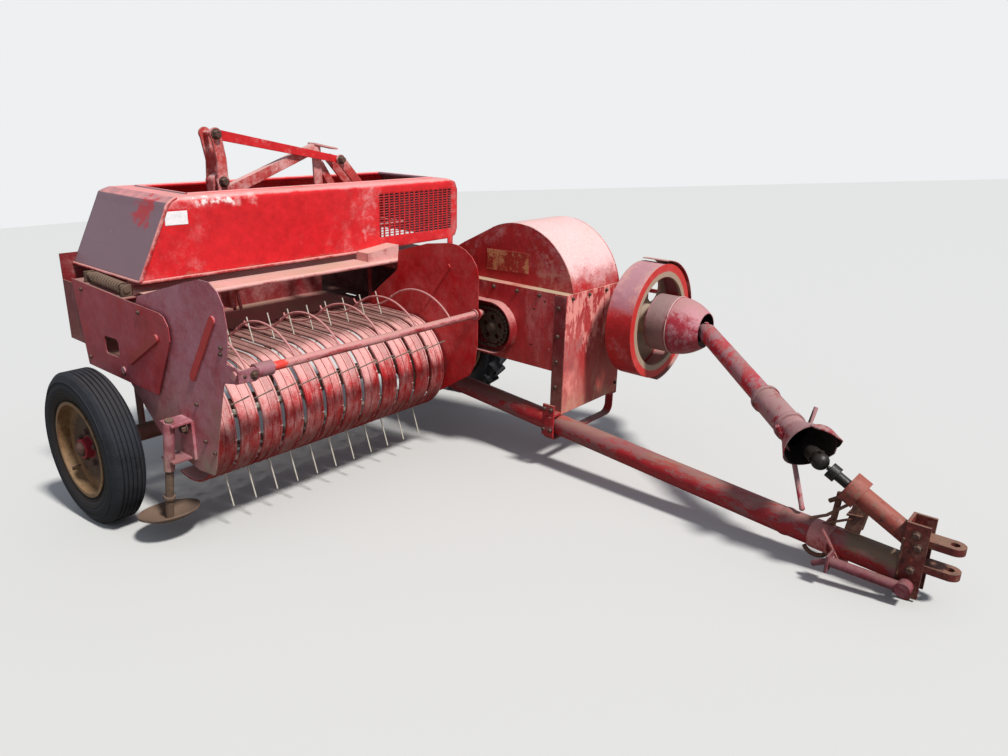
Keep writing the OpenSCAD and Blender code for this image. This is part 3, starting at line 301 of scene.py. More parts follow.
edge_hem = [(hood_x, hood_y, 1032), (-1505, hood_y, 1166), (-1442, hood_y, 1292), (-1430, -170, 1320),
            (-1408, -165, 1338), (-1380, -158, 1348)]
foot_hem = [(hood_x, hood_y, 1030), (-946, hood_y, 1026), (-320, hood_y, 1024)]
end_hem = [(hood_x, hood_y, 1030), (hood_x - 1, 130, 1030), (hood_x, 430, 1030)]
piece("hood_hem", [pipe(edge_hem, 7.5), pipe(foot_hem, 6.5), pipe(end_hem, 6.0)], hem_red, "machine")

# Lot tag on the hood's front: matte white paper stuck flat, bleached and blank. Paper scatters light
# evenly, so it is the one dull white thing on the machine.
tag_paper = enamel("Matte paper, sun bleached", "#e9e5e2", "#f6f4f2", "#b9a9a6", "#cfc4bd",
                   chalked=0.5, rusting=0.05, dusting=0.1, edges=0.0, grain=4.0, rough=0.8)
tag_corners = [(-1444, hood_y, 1244), (-1345, hood_y, 1243), (-1345, hood_y, 1298), (-1443, hood_y, 1299)]
tag_thick = 1.0


def slab(corners, thick):
    """Flat plate: a ring of corners and the same ring moved by thick."""
    corners = np.asarray(corners, float)
    return np.stack([corners, corners + thick])


piece("lot_tag", [slab(tag_corners, (0, -tag_thick, 0))], tag_paper, "machine")

# Shelf under the hood: sheet with a rolled lip along its front, below the hood's foot. Years of dust lie on
# top and dull its red to a tan pink.
coat(enamel("Shelf enamel, dusty", "#a82c2e", "#e2b0a8", "#5c3527", "#b3977c",
            chalked=0.38, sky=0.45, rusting=0.35, dusting=0.45, edges=0.8), "shelf")

# Side panel: large pressed sheet with an embossed rib, bolted to the frame. It has weathered to a dull
# mauve red with brown stains, and its rib has stayed redder.
panel_red = coat(
    enamel("Side enamel, dull and stained", "#b6333a", "#bb6b73", "#45291f", "#8a7364",
           chalked=0.14, sky=0.6, crisp=0.2, rusting=0.3, dusting=0.5, low=0.12, edges=0.9, rough=0.55),
    "side_panel")
area(panel_red, (-1.66, -0.43, 0.60), (-1.6345, -0.08, 1.0), "#a8403a", soft=0.003, ragged=0.001, amount=0.8)

# Right-hand end plate of the pickup: pressed plate, mauve with chalk and dusty below. The face of its rib
# is still bright red, and the bracket that carries the skid has darkened.
plate_red = coat(
    enamel("Pickup plate enamel, mauve", "#b3434c", "#bf8792", "#4a2f28", "#a08878",
           chalked=0.36, sky=0.3, crisp=0.25, rusting=0.35, dusting=0.3, low=0.65, edges=1.0, rough=0.6),
    "pickup_plate_right")
area(plate_red, (-1.63, -0.83, 0.66), (-1.6205, -0.52, 1.06), "#c23a34", soft=0.003, ragged=0.001, amount=0.9)
area(plate_red, (-1.72, -0.57, 0.37), (-1.625, -0.40, 0.60), "#84464e", soft=0.02, ragged=0.03, amount=0.7)


def bolts(spots, axis, flats=19, washer=1.25):
    """Hexagon heads on round washers: radius is flats/2 over the cosine of the angle to the nearest flat's
    middle, in rings that rise along the axis, with the top corners chamfered. Washer is the washer's width
    over the head's width across its corners, and the lowest ring is 1 mm under the sheet's face."""
    corner = 1.15
    axis, u, v = across(axis)
    t = np.arange(12) * math.pi / 6
    hexagon = flats / 2 / np.cos((t + math.pi / 6) % (math.pi / 3) - math.pi / 6)
    disc = np.full(12, flats * washer / 2 * corner)
    rings = [(disc, -1), (disc, 0.11 * flats), (hexagon, 0.11 * flats), (hexagon, 0.62 * flats),
             (hexagon * 0.86, 0.72 * flats)]
    ring = u * np.cos(t)[:, None] + v * np.sin(t)[:, None]
    shape = np.stack([ring * r[:, None] + h * axis for r, h in rings])
    return [np.asarray(spot) + shape for spot in spots]


dark_steel = enamel("Bolt steel, rusted dark", "#422b25", "#63493e", "#2d1e19", "#6d5a49",
                    chalked=0.3, rusting=0.5, grain=4.0, edges=0.0, rough=0.6)
plate_x, panel_x, skid_x = -1618, -1632, -1648
plate_spots = [(plate_x, y, z) for y, z in ((-806, 905), (-800, 880), (-700, 470), (-640, 500), (-600, 640))]
panel_spots = [(panel_x, y, z) for y, z in ((240, 950), (240, 650), (-60, 640), (-250, 935))]
skid_bolt = bolts([(skid_x, -545, 535)], right, 26, 1.5)
piece("plate_bolts", bolts(plate_spots, right, 13) + skid_bolt, dark_steel, "pickup")
piece("panel_bolts", bolts(panel_spots, right, 13), dark_steel, "machine")

# Left plate of the pickup: the same sheet, sheltered by the plunger's housing, so that it keeps a deep
# clear red with some gloss.
coat(enamel("Left plate enamel, clear red", "#c61b20", "#cf6a68", "#5a261e", "#96806c",
            chalked=0.02, sky=0.35, crisp=0.1, rusting=0.15, edges=0.8, rough=0.4), "pickup_plate_left")


def domes(spots, axis, radius):
    """Round rivet heads: rings of radius x cos a raised by 0.7 radius x sin a, for a from 0 to 80 degrees,
    over one ring that is 1 mm under the sheet's face."""
    a = np.radians([0, 0, 25, 50, 80])
    axis, u, v = across(axis)
    t = np.arange(10) * math.pi / 5
    ring = u * np.cos(t)[:, None] + v * np.sin(t)[:, None]
    rise = 0.7 * radius * np.sin(a)
    rise[0] = -1
    shape = ring * (radius * np.cos(a))[:, None, None] + rise[:, None, None] * axis
    return [np.asarray(spot) + shape for spot in spots]


# Bands over the reel: beaded steel strips riveted at their edges. Crop and sky have bleached their crowns,
# the underside is painted dark brown as shade, and dust lies behind the crown.
band_red = coat(
    enamel("Band enamel, bleached crowns", "#bf2024", "#dcaaa4", "#4c2a22", "#b09a88",
           chalked=0.10, sky=0.75, crisp=0.4, rusting=0.3, dusting=0.25, grain=1.6, edges=0.7,
           along=(1.8, 0.7, 0.7)),
    "pickup_bands")
# Painted shade: faces that look down and forward are darkened to a dark brown.
shade_facing(band_red, (0, -0.3, -1), "#5c2f2a", start=0.1, end=0.9, amount=0.6)
area(band_red, (-1.7, -0.55, 0.63), (-0.3, 0.2, 0.95), "#6e5046", soft=0.10, ragged=0.06, amount=0.75)
reel_y, reel_z = -456, 511
band_x0, band_pitch, bands = -1614, 104, 12
band_r, rivet_side = 231, 13
slots_x = band_x0 + band_pitch * np.arange(1, bands)
rivet_steel = enamel("Rivet steel, polished by crop", "#b0958a", "#dccfc6", "#6a4433", "#8f7a68",
                     chalked=0.6, rusting=0.25, grain=4.0, edges=0.0, rough=0.4)
heads = []
for a in (-0.09, 0.36):
    row_y, row_z = reel_y - band_r * math.cos(a), reel_z + band_r * math.sin(a)
    row = [(x - rivet_side, row_y, row_z) for x in slots_x]
    heads += domes(row, (0, -math.cos(a), math.sin(a)), 6.5)
piece("band_rivets", heads, rivet_steel, "pickup")

# Windguard: pipe with bent rods, held at its right end by a flat bar and a pinched sleeve. Crop has rubbed
# the pipe to streaks, and a short length beside the sleeve is still bright.
guard_red = coat(
    enamel("Windguard enamel, worn by crop", "#a23438", "#c98f8b", "#54362b", "#94806c",
           chalked=0.34, sky=0.45, crisp=0.6, rusting=0.45, grain=2.0, along=(0.35, 1, 1), edges=0.3),
    "windguard")
area(guard_red, (-1.47, -0.91, 0.78), (-1.41, -0.85, 0.85), "#d8301f", soft=0.01, ragged=0.02, amount=0.9)
arm_red = enamel("Guard arm enamel, dark", "#8c2a30", "#a07078", "#3c2824", "#7d6a5c",
                 chalked=0.35, sky=0.6, rusting=0.4, edges=0.8, grain=2.0)
arm_y, arm_thick = -905, 6
arm_outline = [(-1626, 840), (-1626, 796), (-1560, 792), (-1541, 800), (-1541, 834), (-1560, 842)]
guard_arm = slab([(x, arm_y, z) for x, z in arm_outline], (0, -arm_thick, 0))
pipe_y, pipe_z = -878, 816
guard_sleeve = pipe([(x, pipe_y, pipe_z) for x in (-1542, -1500, -1470)], 27, 20)
piece("guard_arm", [guard_arm, guard_sleeve], arm_red, "windguard")
arm_face = arm_y - arm_thick
arm_bolt = bolts([(-1562, arm_face, 817)], ahead, 20, 1.5)
arm_rivet = domes([(-1600, arm_face, 818)], ahead, 7)
pipe_end = bolts([(-328, pipe_y, pipe_z)], left, 22)
piece("guard_bolts", arm_bolt + arm_rivet + pipe_end, dark_steel, "windguard")

# Reel: rusted bars whose tines are sprung by coils of their own wire. The crop polishes the wire to a pale
# grey, with brown left in the hollows.
tine_steel = coat(
    enamel("Spring steel, crop polished", "#857c70", "#c9c0b0", "#5f4636", "#8a7a66",
           chalked=0.5, rusting=0.3, grain=3.0, edges=0.0, rough=0.42),
    "reel")
bar_reach, coil_r, wire_r = 140, 14.5, 3.0
coil_side, lead_per_radian = 12, 1.3
turns = np.linspace(0, 6 * math.pi, 37)
coils = []
for bar_angle in np.radians((240, 150, 60, 330)):
    y = reel_y + bar_reach * math.cos(bar_angle) + coil_r * np.cos(turns)
    z = reel_z + bar_reach * math.sin(bar_angle) + coil_r * np.sin(turns)
    for x in slots_x:
        coils.append(pipe(np.stack([x - coil_side + turns * lead_per_radian, y, z], -1), wire_r, 6))
piece("tine_coils", coils, tine_steel, "reel", 60)

# Plunger's housing: bolted box of plate with a folded strip on its corner. Its front sheet is scraped pale
# in runs where the sun strikes it, and the ledges carry dust. By the corner a bright strip of the front is
# painted sunlight, the lit part beside the flywheel's shadow.
case_red = coat(
    enamel("Plunger housing enamel, scraped", "#bd2b30", "#dc968e", "#4c2a22", "#b09a7e",
           chalked=0.0, sky=0.4, crisp=0.3, rusting=0.35, dusting=0.75, low=0.2, edges=0.9,
           along=(1.3, 1, 0.5)),
    "plunger_case")
# Marks, as on the hood: pale runs above, bright strip of painted sunlight by the corner, tan foot, worn
# mauve patch
case_marks_and_sunlight = [
    ((-0.24, -1.31, 0.66), (0.24, -1.29, 0.96), "#f3a49a", 0.05, 0.16, 0.85),
    # Painted sunlight: the lit strip beside the flywheel's shadow
    ((-0.24, -1.31, 0.39), (-0.11, -1.29, 0.86), "#f49a90", 0.06, 0.10, 0.75),
    ((-0.24, -1.31, 0.39), (0.24, -1.29, 0.46), "#b98a70", 0.04, 0.08, 0.8),
    ((-0.24, -1.31, 0.60), (-0.10, -1.29, 0.74), "#8f3b40", 0.03, 0.08, 0.7),
]
for mark in case_marks_and_sunlight:
    area(case_red, *mark)
strip_red = enamel("Corner strip enamel", "#7d2226", "#a86a6a", "#452821", "#8a7662",
                   chalked=0.15, rusting=0.4, low=0.3, edges=0.9)
case_x, case_y, strip_thick = -236, -1300, 2.2
strip_outline = [(-1299, 396), (-1299, 944), (-1240, 944), (-1236, 590), (-1237, 396)]
strip = slab([(case_x, y, z) for y, z in strip_outline], (-strip_thick, 0, 0))
piece("corner_strip", [strip], strip_red, "machine")
case_side = [(case_x - 2, -1262, z) for z in (890, 760, 640, 520)]
case_side += [(case_x, y, 930) for y in (-1150, -1020, -880, -700, -560, -420)]
case_front = [(x, case_y, 932) for x in (-190, -60, 80, 205)] + [(214, case_y, z) for z in (840, 560, 440)]
piece("case_bolts", bolts(case_side, right, 14) + bolts(case_front, ahead, 13), dark_steel, "machine")

# Arched cover over the crank: rolled sheet with a lapped seam at each side. Its top has bleached almost
# white, and its side carries a foil plate whose print has weathered away to tan flecks.
arch_red = coat(
    enamel("Arch enamel, bleached top", "#b82c2d", "#ebc9c5", "#6a3a2a", "#b39a84",
           chalked=-0.12, sky=1.15, crisp=0.3, rusting=0.2, dusting=0.3, edges=0.8),
    "crank_arch")
area(arch_red, (-0.2, -1.32, 0.95), (-0.17, -1.10, 1.10), "#c98f80", soft=0.04, ragged=0.08, amount=0.6)
foil = enamel("Printed foil, weathered blank", "#b0382e", "#cf8f62", "#7a4632", "#b59a7a",
              chalked=0.24, crisp=0.8, rusting=0.3, grain=3.0, edges=0.0)
foil_x, foil_thick = -184, 1.2
foil_outline = [(-1042, 1098), (-1042, 1003), (-788, 994), (-788, 1091)]
foil_plate = slab([(foil_x, y, z) for y, z in foil_outline], (-foil_thick, 0, 0))
piece("blank_plate", [foil_plate], foil, "machine")
arch_y, arch_z, arch_r = -965, 893, 335
a = np.radians(np.linspace(100, 172, 24))
seam_y, seam_z = arch_y + arch_r * np.cos(a), arch_z + arch_r * np.sin(a)
seams = [pipe(np.stack([np.full(24, x), seam_y, seam_z], -1), 3.5, 6) for x in (-181, 195)]
piece("arch_seams", seams, arch_red, "machine")

# Chain drive on the housing's side: folded guard over a roller chain that runs in old grease, which has
# turned the steel almost black.
coat(enamel("Guard enamel", "#9c2a2c", "#c98a84", "#4c2a20", "#a08872",
            chalked=0.15, sky=0.5, rusting=0.35, edges=0.9), "chain_guard")
coat(enamel("Greasy chain steel", "#33251f", "#5c483a", "#4c2e1e", "#6d5642",
            chalked=0.4, rusting=0.4, grain=3.0, rough=0.5), "drive_chain", "drive_sprocket")
ring_x, ring_y, ring_z, ring_r = -286.5, -900, 740, 123
ring_spots = [(ring_x, ring_y + ring_r * math.cos(t), ring_z + ring_r * math.sin(t))
              for t in np.radians((100, 160, 220, 260))]
piece("guard_ring_bolts", bolts(ring_spots, right, 5), dark_steel, "machine")

# Bare steel inside and behind: gearbox casting, plunger, star wheel, tension gear, spring and skid. They
# have lost their paint or never had any, and old rust leaves them a dull brown.
coat(enamel("Bare steel, rusted", "#4e3b30", "#755f50", "#43271b", "#6d5947",
            chalked=0.4, rusting=0.5, grain=2.0, edges=0.3, rough=0.6),
     "gearbox", "plunger", "star_wheel", "tension_gear", "lift_spring", "skid")


def round_axis(material, centre, mask_by, inside, outside, colour, soft=0.006, ragged=0.01, amount=1.0):
    """Colour between two radii about an axis, in m: the length of p - centre, its part along the axis scaled
    to nothing by mask_by, set between inside and outside, the outline broken by the blotches."""
    tree = material.node_tree
    rim, bore = outside + 2 * ragged, inside + 2 * ragged
    off = add(tree, "ShaderNodeVectorMath", {0: tree.nodes["Level"].outputs[0], 1: centre},
              operation="SUBTRACT")
    flat = add(tree, "ShaderNodeVectorMath", {0: off.outputs[0], 1: mask_by}, operation="MULTIPLY")
    reach = add(tree, "ShaderNodeVectorMath", {0: flat.outputs[0]}, operation="LENGTH")
    torn = add(tree, "ShaderNodeMath",
               {0: tree.nodes["Fine"].outputs[0], 1: 4 * ragged, 2: reach.outputs["Value"]},
               operation="MULTIPLY_ADD")
    below = add(tree, "ShaderNodeMapRange", {0: torn.outputs[0], 1: rim, 2: rim - soft, 3: 0.0, 4: 1.0})
    beyond = add(tree, "ShaderNodeMapRange", {0: torn.outputs[0], 1: bore - soft, 2: bore, 3: 0.0, 4: 1.0})
    mask = add(tree, "ShaderNodeMath", {0: below.outputs[0], 1: beyond.outputs[0]}, operation="MULTIPLY")
    over(material, mask.outputs[0], colour, amount)


# Flywheel: cast iron, sprayed with the rest. The rim is chalky on top and deep red below, with a bright
# red lip, and tan dirt covers the arms inside. The guard strip over it is bent flat bar.
fly_red = coat(
    enamel("Flywheel enamel on casting", "#c2282a", "#cfa09e", "#45241c", "#9a8472",
           chalked=-0.16, sky=0.9, crisp=0.3, rusting=0.15, dusting=0.3, edges=0.8, grain=1.5),
    "flywheel")
shaft_x, shaft_z = 187, 803
shaft_line, across_shaft = (shaft_x / MM_PER_M, 0, shaft_z / MM_PER_M), (1, 0, 1)
area(fly_red, (-0.2, -1.545, 0.87), (0.5, -1.40, 1.10), "#a87680", soft=0.05, ragged=0.06, amount=0.75)
area(fly_red, (-0.1, -1.545, 0.5), (0.5, -1.5385, 1.1), "#d03630", soft=0.002, ragged=0.0004, amount=0.9)
round_axis(fly_red, shaft_line, across_shaft, 0.0, 0.236, "#a8957f", ragged=0.002, amount=0.92)
coat(enamel("Guard strip enamel", "#a82c2c", "#d6a29a", "#4c2a20", "#94806c",
            chalked=0.25, sky=0.6, rusting=0.35, edges=0.9), "flywheel_guard")
hub_steel = enamel("Hub bolt steel, dusty", "#a5927c", "#cdbfa8", "#6a4a38", "#a08c74",
                   chalked=0.5, grain=4.0, edges=0.0)
hub_y, hub_bolt_r = -1440, 155
hub_spots = [(shaft_x + hub_bolt_r * math.cos(t), hub_y, shaft_z + hub_bolt_r * math.sin(t))
             for t in np.radians((30, 120, 210, 300))]
piece("hub_bolts", bolts(hub_spots, ahead, 24, 1.6), hub_steel, "flywheel")


def shade_inside(material, centre, axis, colour, within, amount):
    """Painted shade on faces that look towards an axis: the normal's dot product with the unit vector from
    the axis to p, both parked, ramped from -0.2 to -0.5, where p is nearer the axis than within, in m."""
    tree = material.node_tree
    where = add(tree, "ShaderNodeTexCoord")
    line = tuple(park(axis) - park((0, 0, 0)))
    off = add(tree, "ShaderNodeVectorMath", {0: where.outputs["Object"], 1: tuple(park(centre))},
              operation="SUBTRACT")
    part = add(tree, "ShaderNodeVectorMath", {0: off.outputs[0], 1: line}, operation="PROJECT")
    arm = add(tree, "ShaderNodeVectorMath", {0: off.outputs[0], 1: part.outputs[0]}, operation="SUBTRACT")
    unit = add(tree, "ShaderNodeVectorMath", {0: arm.outputs[0]}, operation="NORMALIZE")
    dot = add(tree, "ShaderNodeVectorMath", {0: unit.outputs[0], 1: where.outputs["Normal"]},
              operation="DOT_PRODUCT")
    looks_in = add(tree, "ShaderNodeMapRange", {0: dot.outputs["Value"], 1: -0.2, 2: -0.5, 3: 0.0, 4: 1.0})
    reach = add(tree, "ShaderNodeVectorMath", {0: arm.outputs[0]}, operation="LENGTH")
    near = add(tree, "ShaderNodeMath", {0: reach.outputs["Value"], 1: within}, operation="LESS_THAN")
    mask = add(tree, "ShaderNodeMath", {0: looks_in.outputs[0], 1: near.outputs[0]}, operation="MULTIPLY")
    over(material, mask.outputs[0], colour, amount)


def hoop(centre, axis, radius, thick, sides=7, steps=64):
    """Round bar bent to a ring: centre + radius x (u cos t + v sin t) for a full turn of t."""
    _, u, v = across(axis)
    t = np.linspace(0, 2 * math.pi, steps + 1)[:, None]
    return pipe(np.asarray(centre) + radius * (u * np.cos(t) + v * np.sin(t)), thick, sides)


# Bell shield: spun steel over the input shaft, tan with dirt at its root, with a pale lapped seam and a
# chalky red dome. Its inside is painted near black as shade.
bell_red = coat(
    enamel("Bell enamel, dirty at the root", "#ad3340", "#bd868c", "#54362b", "#94806e",
           chalked=0.12, sky=0.42, crisp=0.7, rusting=0.35, dusting=0.3, edges=0.7, grain=2.4),
    "pto_bell")
area(bell_red, (0.0, -1.635, 0.6), (0.4, -1.52, 1.0), "#8a7670", soft=0.02, ragged=0.012, amount=0.8)
# Painted shade: faces inside the bell within 135 mm of the shaft are darkened almost to black.
shade_inside(bell_red, (shaft_x, -1700, shaft_z), (0, 1, 0), "#181312", 0.135, 0.95)
seam_pale = enamel("Lapped seam, chipped to primer", "#a07a70", "#d8c6b8", "#5c4234", "#94806c",
                   chalked=0.55, rusting=0.3, grain=3.0, edges=0.0)
piece("bell_seam", [hoop((shaft_x, -1633, shaft_z), (0, 1, 0), 132.5, 2.2)], seam_pale, "machine")

# Driveline shields: thin steel tubes that slide in each other, their paint worn to mottled patches along
# the tube. The joint in the flare runs in grease and is black, and the flare's inside is painted near black
# as shade.
tube_turn = (0, 0, -0.83)
coat(enamel("Driveline enamel, mottled", "#c22636", "#97787b", "#4c342b", "#857264",
            chalked=0.24, sky=0.06, crisp=0.82, rusting=0.3, grain=3.2, along=(0.55, 1, 1), turn=tube_turn,
            edges=0.3), "driveline")
sleeve_red = coat(
    enamel("Sleeve enamel, worn grey", "#a82c38", "#a58684", "#4c342b", "#857264",
           chalked=0.34, sky=0.06, crisp=0.82, rusting=0.4, grain=3.2, along=(0.55, 1, 1), turn=tube_turn,
           edges=0.9),
    "driveline_sleeve")
# Painted shade: faces inside the flare within 102 mm of its axis are darkened almost to black.
shade_inside(sleeve_red, (-530, -2551, 651), (-717, -783, -152), "#14100f", 0.102, 0.97)
coat(enamel("Black grease and dust", "#100e0d", "#2c2622", "#1c1511", "#3a3029",
            chalked=0.25, rusting=0.2, grain=3.0, edges=0.0, rough=0.3), "pto_stub", "shaft_yoke")

# Tongue: long pipe that swings on an eye under the housing, with an elbow and a welded saddle. Its paint
# is scraped and chalked in streaks along it, tan with earth on top of the elbow and red below.
tongue_red = coat(
    enamel("Tongue enamel, streaked", "#ad272d", "#855f5e", "#4c2c20", "#94806a",
           chalked=0.20, sky=0.12, crisp=0.82, rusting=0.4, dusting=0.35, grain=2.8,
           along=(1.2, 0.28, 1.2), turn=(0, 0, -0.2), edges=0.4),
    "tongue", "tongue_latch")
area(tongue_red, (-0.7, -2.9, 0.375), (-0.3, -2.66, 0.6), "#7a6752", soft=0.02, ragged=0.025, amount=0.9)
area(tongue_red, (-0.7, -2.9, 0.30), (-0.3, -2.66, 0.36), "#b02a25", soft=0.02, ragged=0.02, amount=0.7)
clamp_x = -298
clamp_spots = [(clamp_x, y, z) for y in (-1288, -1252) for z in (430, 330)]
piece("clamp_bolts", bolts(clamp_spots, right, 16), dark_steel, "machine")
saddle_red = enamel("Saddle enamel", "#b32026", "#cf8f8a", "#54302a", "#8f7a68",
                    chalked=0.2, sky=0.5, rusting=0.3, edges=1.0, grain=2.0)
elbow = np.array((-504, -2632, 371), float)
tilt = np.array((0, -0.56, -0.83))
saddle_outline = ((-52, -72), (44, -72), (50, 40), (10, 84), (-46, 72))
saddle_plate = [elbow + side * np.array(left) + drop * tilt for side, drop in saddle_outline]
saddle_pipe = pipe([(-482, -2556, 368), (-490, -2600, 369), (-496, -2630, 369.5)], 51, 24)
piece("tongue_saddle", [slab(saddle_plate, (0, -5.8, 4.0)), saddle_pipe], saddle_red, "tongue")


def bead(path, radius=4.0, step=5.0):
    """Weld bead: a tube along the path, resampled every step mm, whose radius swells and falls by a fifth."""
    path = np.asarray(path, float)
    s = np.concatenate([[0], np.cumsum(np.linalg.norm(np.diff(path, axis=0), axis=1))])
    at = np.linspace(0, s[-1], max(int(s[-1] / step), 2))
    line = np.stack([np.interp(at, s, path[:, i]) for i in range(3)], -1)
    return pipe(line, radius * (1 + 0.2 * np.sin(np.arange(len(at)) * 2.1)), 7)


# Hitch: plates welded to the tongue's end, rusted through their paint, with a parking stand folded beside
# them. Jack gear of flat bar and rod stands on the elbow, brown all over.
hitch_rust = coat(
    enamel("Hitch paint, mostly rust", "#6d2c28", "#8a6050", "#3c2620", "#7a6450",
           chalked=0.1, sky=0.3, crisp=0.6, rusting=0.7, dusting=0.35, grain=2.4, edges=0.8),
    "hitch")
area(hitch_rust, (-0.60, -2.85, 0.46), (-0.46, -2.45, 0.75), "#9c4a3e", soft=0.03, ragged=0.09, amount=0.6)
coat(enamel("Stand enamel, mauve and rust", "#7d2a34", "#87585c", "#3f2822", "#6d5a4a",
            chalked=0.2, sky=0.25, crisp=0.5, rusting=0.55, grain=2.4), "hitch_stand")
hitch_x, far_hitch_x, weld_y = -574, -486, -2846
hitch_spots = [(hitch_x, y, z) for y, z in ((-2880, 520), (-2890, 480), (-2882, 400))]
piece("hitch_bolts", bolts(hitch_spots, right, 20), dark_steel, "tongue")
welds = [bead([(x, weld_y, z) for z in (500, 430, 330)]) for x in (hitch_x, far_hitch_x)]
gear_rust = enamel("Jack gear, brown rust", "#57342c", "#87604e", "#33221c", "#6d5a48",
                   chalked=0.3, rusting=0.5, grain=3.0, edges=0.6)
post_y, post_back = -2650, -2700
post = []
for x, wide_x, foot, lean in ((-452, -440, 418, (20, -14, 116)), (-488, -480, 412, (14, -12, 100))):
    foot_ring = [(x, post_y, foot), (x, post_back, foot), (wide_x, post_back, foot), (wide_x, post_y, foot)]
    post.append(slab(foot_ring, lean))
step_ring = [(-488, post_y, 470), (-440, post_y, 470), (-440, post_back, 476), (-488, post_back, 476)]
post.append(slab(step_ring, (0, 0, 6)))
# Rods: radius and points
rod_rows = [
    (5.5, [(-556, -2554, 453), (-530, -2600, 470), (-500, -2680, 543)]),
    (4.5, [(-520, -2590, 430), (-500, -2640, 452), (-470, -2690, 470)]),
    (11, [(-484, -2610, 410), (-478, -2618, 540)]),
    (8, [(-520, -2600, 520), (-440, -2636, 526)]),
]
rods = [pipe(points, radius) for radius, points in rod_rows]
t = np.linspace(0.3, 2.7, 12)
hook_x, hook_y, hook_z = -490.0, -2572, 332
hook = pipe(np.stack([np.full(12, hook_x), hook_y - 44 * np.cos(t), hook_z - 40 * np.sin(t)], -1), 8)
piece("jack_gear", post + rods + welds + [hook], gear_rust, "tongue")

# Frame, rear parts and feeder: welded plate and angle in the same red, rusted more where nothing shades
# them and dusty on top.
coat(enamel("Frame enamel", "#85262a", "#a8706c", "#45281e", "#8a7662",
            chalked=0.22, sky=0.5, rusting=0.45, dusting=0.5, low=0.3, edges=0.8),
     "axle", "bale_chamber", "chamber_rails", "knotter", "needle_yoke", "twine_box", "twine_lid",
     "feeder_house")

# Feeder linkage over the hood: flat bar links pinned by heavy bolts. The links have faded unevenly, and the
# long bar is bright red on its face and pink on top.
coat(enamel("Linkage enamel, faded", "#c2443f", "#e0b0aa", "#54332a", "#9a8470",
            chalked=0.22, sky=0.45, crisp=0.5, rusting=0.35, grain=1.8, edges=0.9),
     "feeder_stays", "feeder_rocker", "feeder_arm")
coat(enamel("Long bar enamel, bright", "#d8282b", "#eaaaa6", "#6a3a2e", "#9a8470",
            chalked=0.05, sky=0.9, rusting=0.2, grain=1.6, edges=0.8), "feeder_bar")
link_y = 40
rocker_spots = [(x, link_y, z) for x, z in ((-1058, 1586), (-1040, 1381))]
arm_spots = [(x, link_y, z) for x, z in ((-370, 1457), (-170, 1238))]
piece("rocker_bolts", bolts(rocker_spots, ahead, 32, 1.3), dark_steel, "feeder_rocker")
piece("arm_bolts", bolts(arm_spots, ahead, 30, 1.3), dark_steel, "feeder_arm")


def turned(profile, centre, axis, sides=24):
    """Profile of (radius, distance along the axis) turned: centre + h axis + r (u cos t + v sin t)."""
    r, h = np.asarray(profile, float).T
    axis, u, v = across(axis)
    t = np.arange(sides) * 2 * math.pi / sides
    ring = u * np.cos(t)[:, None] + v * np.sin(t)[:, None]
    return np.asarray(centre) + h[:, None, None] * axis + r[:, None, None] * ring


# Wheels: pressed steel discs with five nuts, a hub cap and a tyre valve. They are tan with rust at the rim
# and dark brown at the middle, and the hub is still red.
rim_tan = coat(
    enamel("Rim enamel, tan and rust", "#7d5638", "#987a58", "#66371f", "#7d6a52",
           chalked=0.35, rusting=0.65, grain=1.8, edges=0.6),
    "wheel_right", "wheel_left")
axle_z = 340
axle_line, across_axle = (0, 0, axle_z / MM_PER_M), (0, 1, 1)
round_axis(rim_tan, axle_line, across_axle, 0.0, 0.160, "#4a342a", soft=0.03, ragged=0.02, amount=0.85)
round_axis(rim_tan, axle_line, across_axle, 0.022, 0.052, "#9a2432", soft=0.004, ragged=0.003, amount=0.9)
nut_circle = 70
cap_profile = [(30, -1), (30, 6), (24, 14), (16, 19), (8, 21)]
# Valve: distance out from the disc, then y and z from the axle
valve_places = [(2, 120, -118), (16, 124, -122), (34, 126, -124)]
nut_turns = np.radians(np.arange(5) * 72)
for side, disc_x, hub_x, body in ((-1, -1790, -1822, "wheel_right"), (1, 523, 555, "wheel_left")):
    nut_spots = [(disc_x, -nut_circle * math.sin(t), axle_z + nut_circle * math.cos(t)) for t in nut_turns]
    nuts = bolts(nut_spots, (side, 0, 0), 22, 1.4)
    cap = turned(cap_profile, (hub_x, 0, axle_z), (side, 0, 0))
    valve = pipe([(disc_x + side * out, y, axle_z + z) for out, y, z in valve_places], 4, 8)
    piece(body + "_nuts", nuts + [cap, valve], dark_steel, body)

# Tyres: ribbed on the right, lugged on the left, black rubber gone grey. Rings are moulded on their
# sidewalls, and dry mud sits towards the bead.
rubber = coat(
    enamel("Tyre rubber, greyed", "#191a1d", "#2e2f35", "#241f1c", "#433b34",
           chalked=0.35, sky=0.2, crisp=0.1, rusting=0.1, dusting=0.2, grain=2.0, edges=0.0, rough=0.72),
    "tyre_right", "tyre_left")
round_axis(rubber, axle_line, across_axle, 0.19, 0.275, "#30261f", soft=0.05, ragged=0.01, amount=0.7)
for tyre_x, body, tyre_r in ((-1772, "wheel_right", 328), (505, "wheel_left", 310)):
    rings = []
    for side in (-1, 1):
        for radius, out in ((222, 62.5), (248, 69.6), (tyre_r - 36, 69.6)):
            rings.append(hoop((tyre_x + side * out, 0, axle_z), left, radius, 2.4, 6, 96))
    piece(body + "_sidewall", rings, rubber, body, 60)

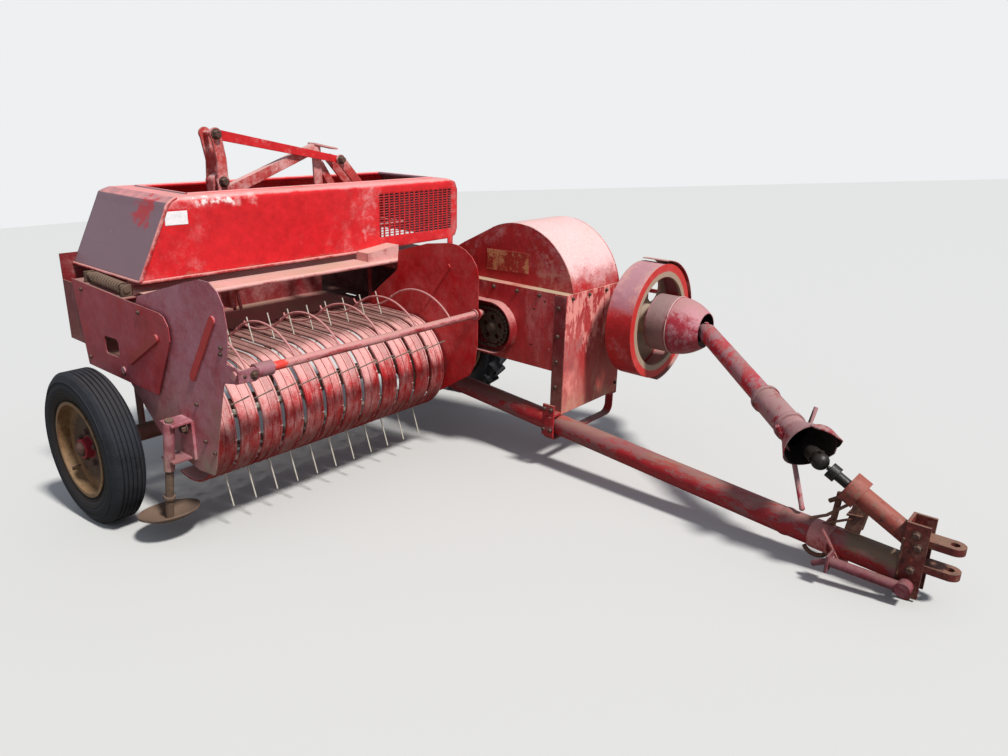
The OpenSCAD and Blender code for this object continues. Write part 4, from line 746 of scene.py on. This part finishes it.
# Stage: a pale floor and a plain backdrop, lit by one sun 51 degrees up, from behind the camera's right.
# The floor throws back little light, as bare ground does under a machine. The camera stands as it did for
# the photograph.
floor_half = 30
floor_mesh = bpy.data.meshes.new("floor")
floor_corners = [(x * floor_half, y * floor_half, 0) for x, y in ((-1, -1), (1, -1), (1, 1), (-1, 1))]
floor_mesh.from_pydata(floor_corners, [], [(0, 1, 2, 3)])
floor = bpy.data.objects.new("floor", floor_mesh)
bpy.context.scene.collection.objects.link(floor)
paper = bpy.data.materials.new("Pale studio floor, matte")
paper.use_nodes = True
paper_tree = paper.node_tree
paper_shader = paper_tree.nodes["Principled BSDF"]
seen = add(paper_tree, "ShaderNodeLightPath")
paper_mix = add(paper_tree, "ShaderNodeMix",
                {0: seen.outputs["Is Camera Ray"], 6: linear("#7d7a72"), 7: linear("#c6c4bf")},
                data_type="RGBA")
paper_tree.links.new(paper_mix.outputs[2], paper_shader.inputs["Base Color"])
paper_shader.inputs["Roughness"].default_value = 0.9
floor_mesh.materials.append(paper)

world = bpy.data.worlds.new("studio sky")
bpy.context.scene.world = world
world.use_nodes = True
sky_tree = world.node_tree
sky_shader = sky_tree.nodes["Background"]
sky_light, backdrop_light = 0.5, 1.0
ray = add(sky_tree, "ShaderNodeLightPath")
backdrop = add(sky_tree, "ShaderNodeMix",
               {0: ray.outputs["Is Camera Ray"], 6: linear("#d3def0"), 7: linear("#eef0f2")},
               data_type="RGBA")
strength = add(sky_tree, "ShaderNodeMapRange",
               {0: ray.outputs["Is Camera Ray"], 1: 0.0, 2: 1.0, 3: sky_light, 4: backdrop_light})
sky_tree.links.new(backdrop.outputs[2], sky_shader.inputs[0])
sky_tree.links.new(strength.outputs[0], sky_shader.inputs[1])

key = bpy.data.lights.new("key", "SUN")
key.energy = 4.3
key.angle = math.radians(8)
key_obj = bpy.data.objects.new("key", key)
key_obj.rotation_euler = (math.radians(38.5), math.radians(-5), 0)
bpy.context.scene.collection.objects.link(key_obj)

camera = bpy.data.cameras.new("camera")
camera.lens = 28.45
camera.sensor_width = 36
camera.clip_end = 200
camera_obj = bpy.data.objects.new("camera", camera)
camera_obj.location = (-2.4158, -2.8144, 1.3874)
camera_obj.rotation_euler = (math.radians(74.88), math.radians(2.865), math.radians(-50.036))
bpy.context.scene.collection.objects.link(camera_obj)
bpy.context.scene.camera = camera_obj
bpy.context.scene.view_settings.view_transform = "Standard"
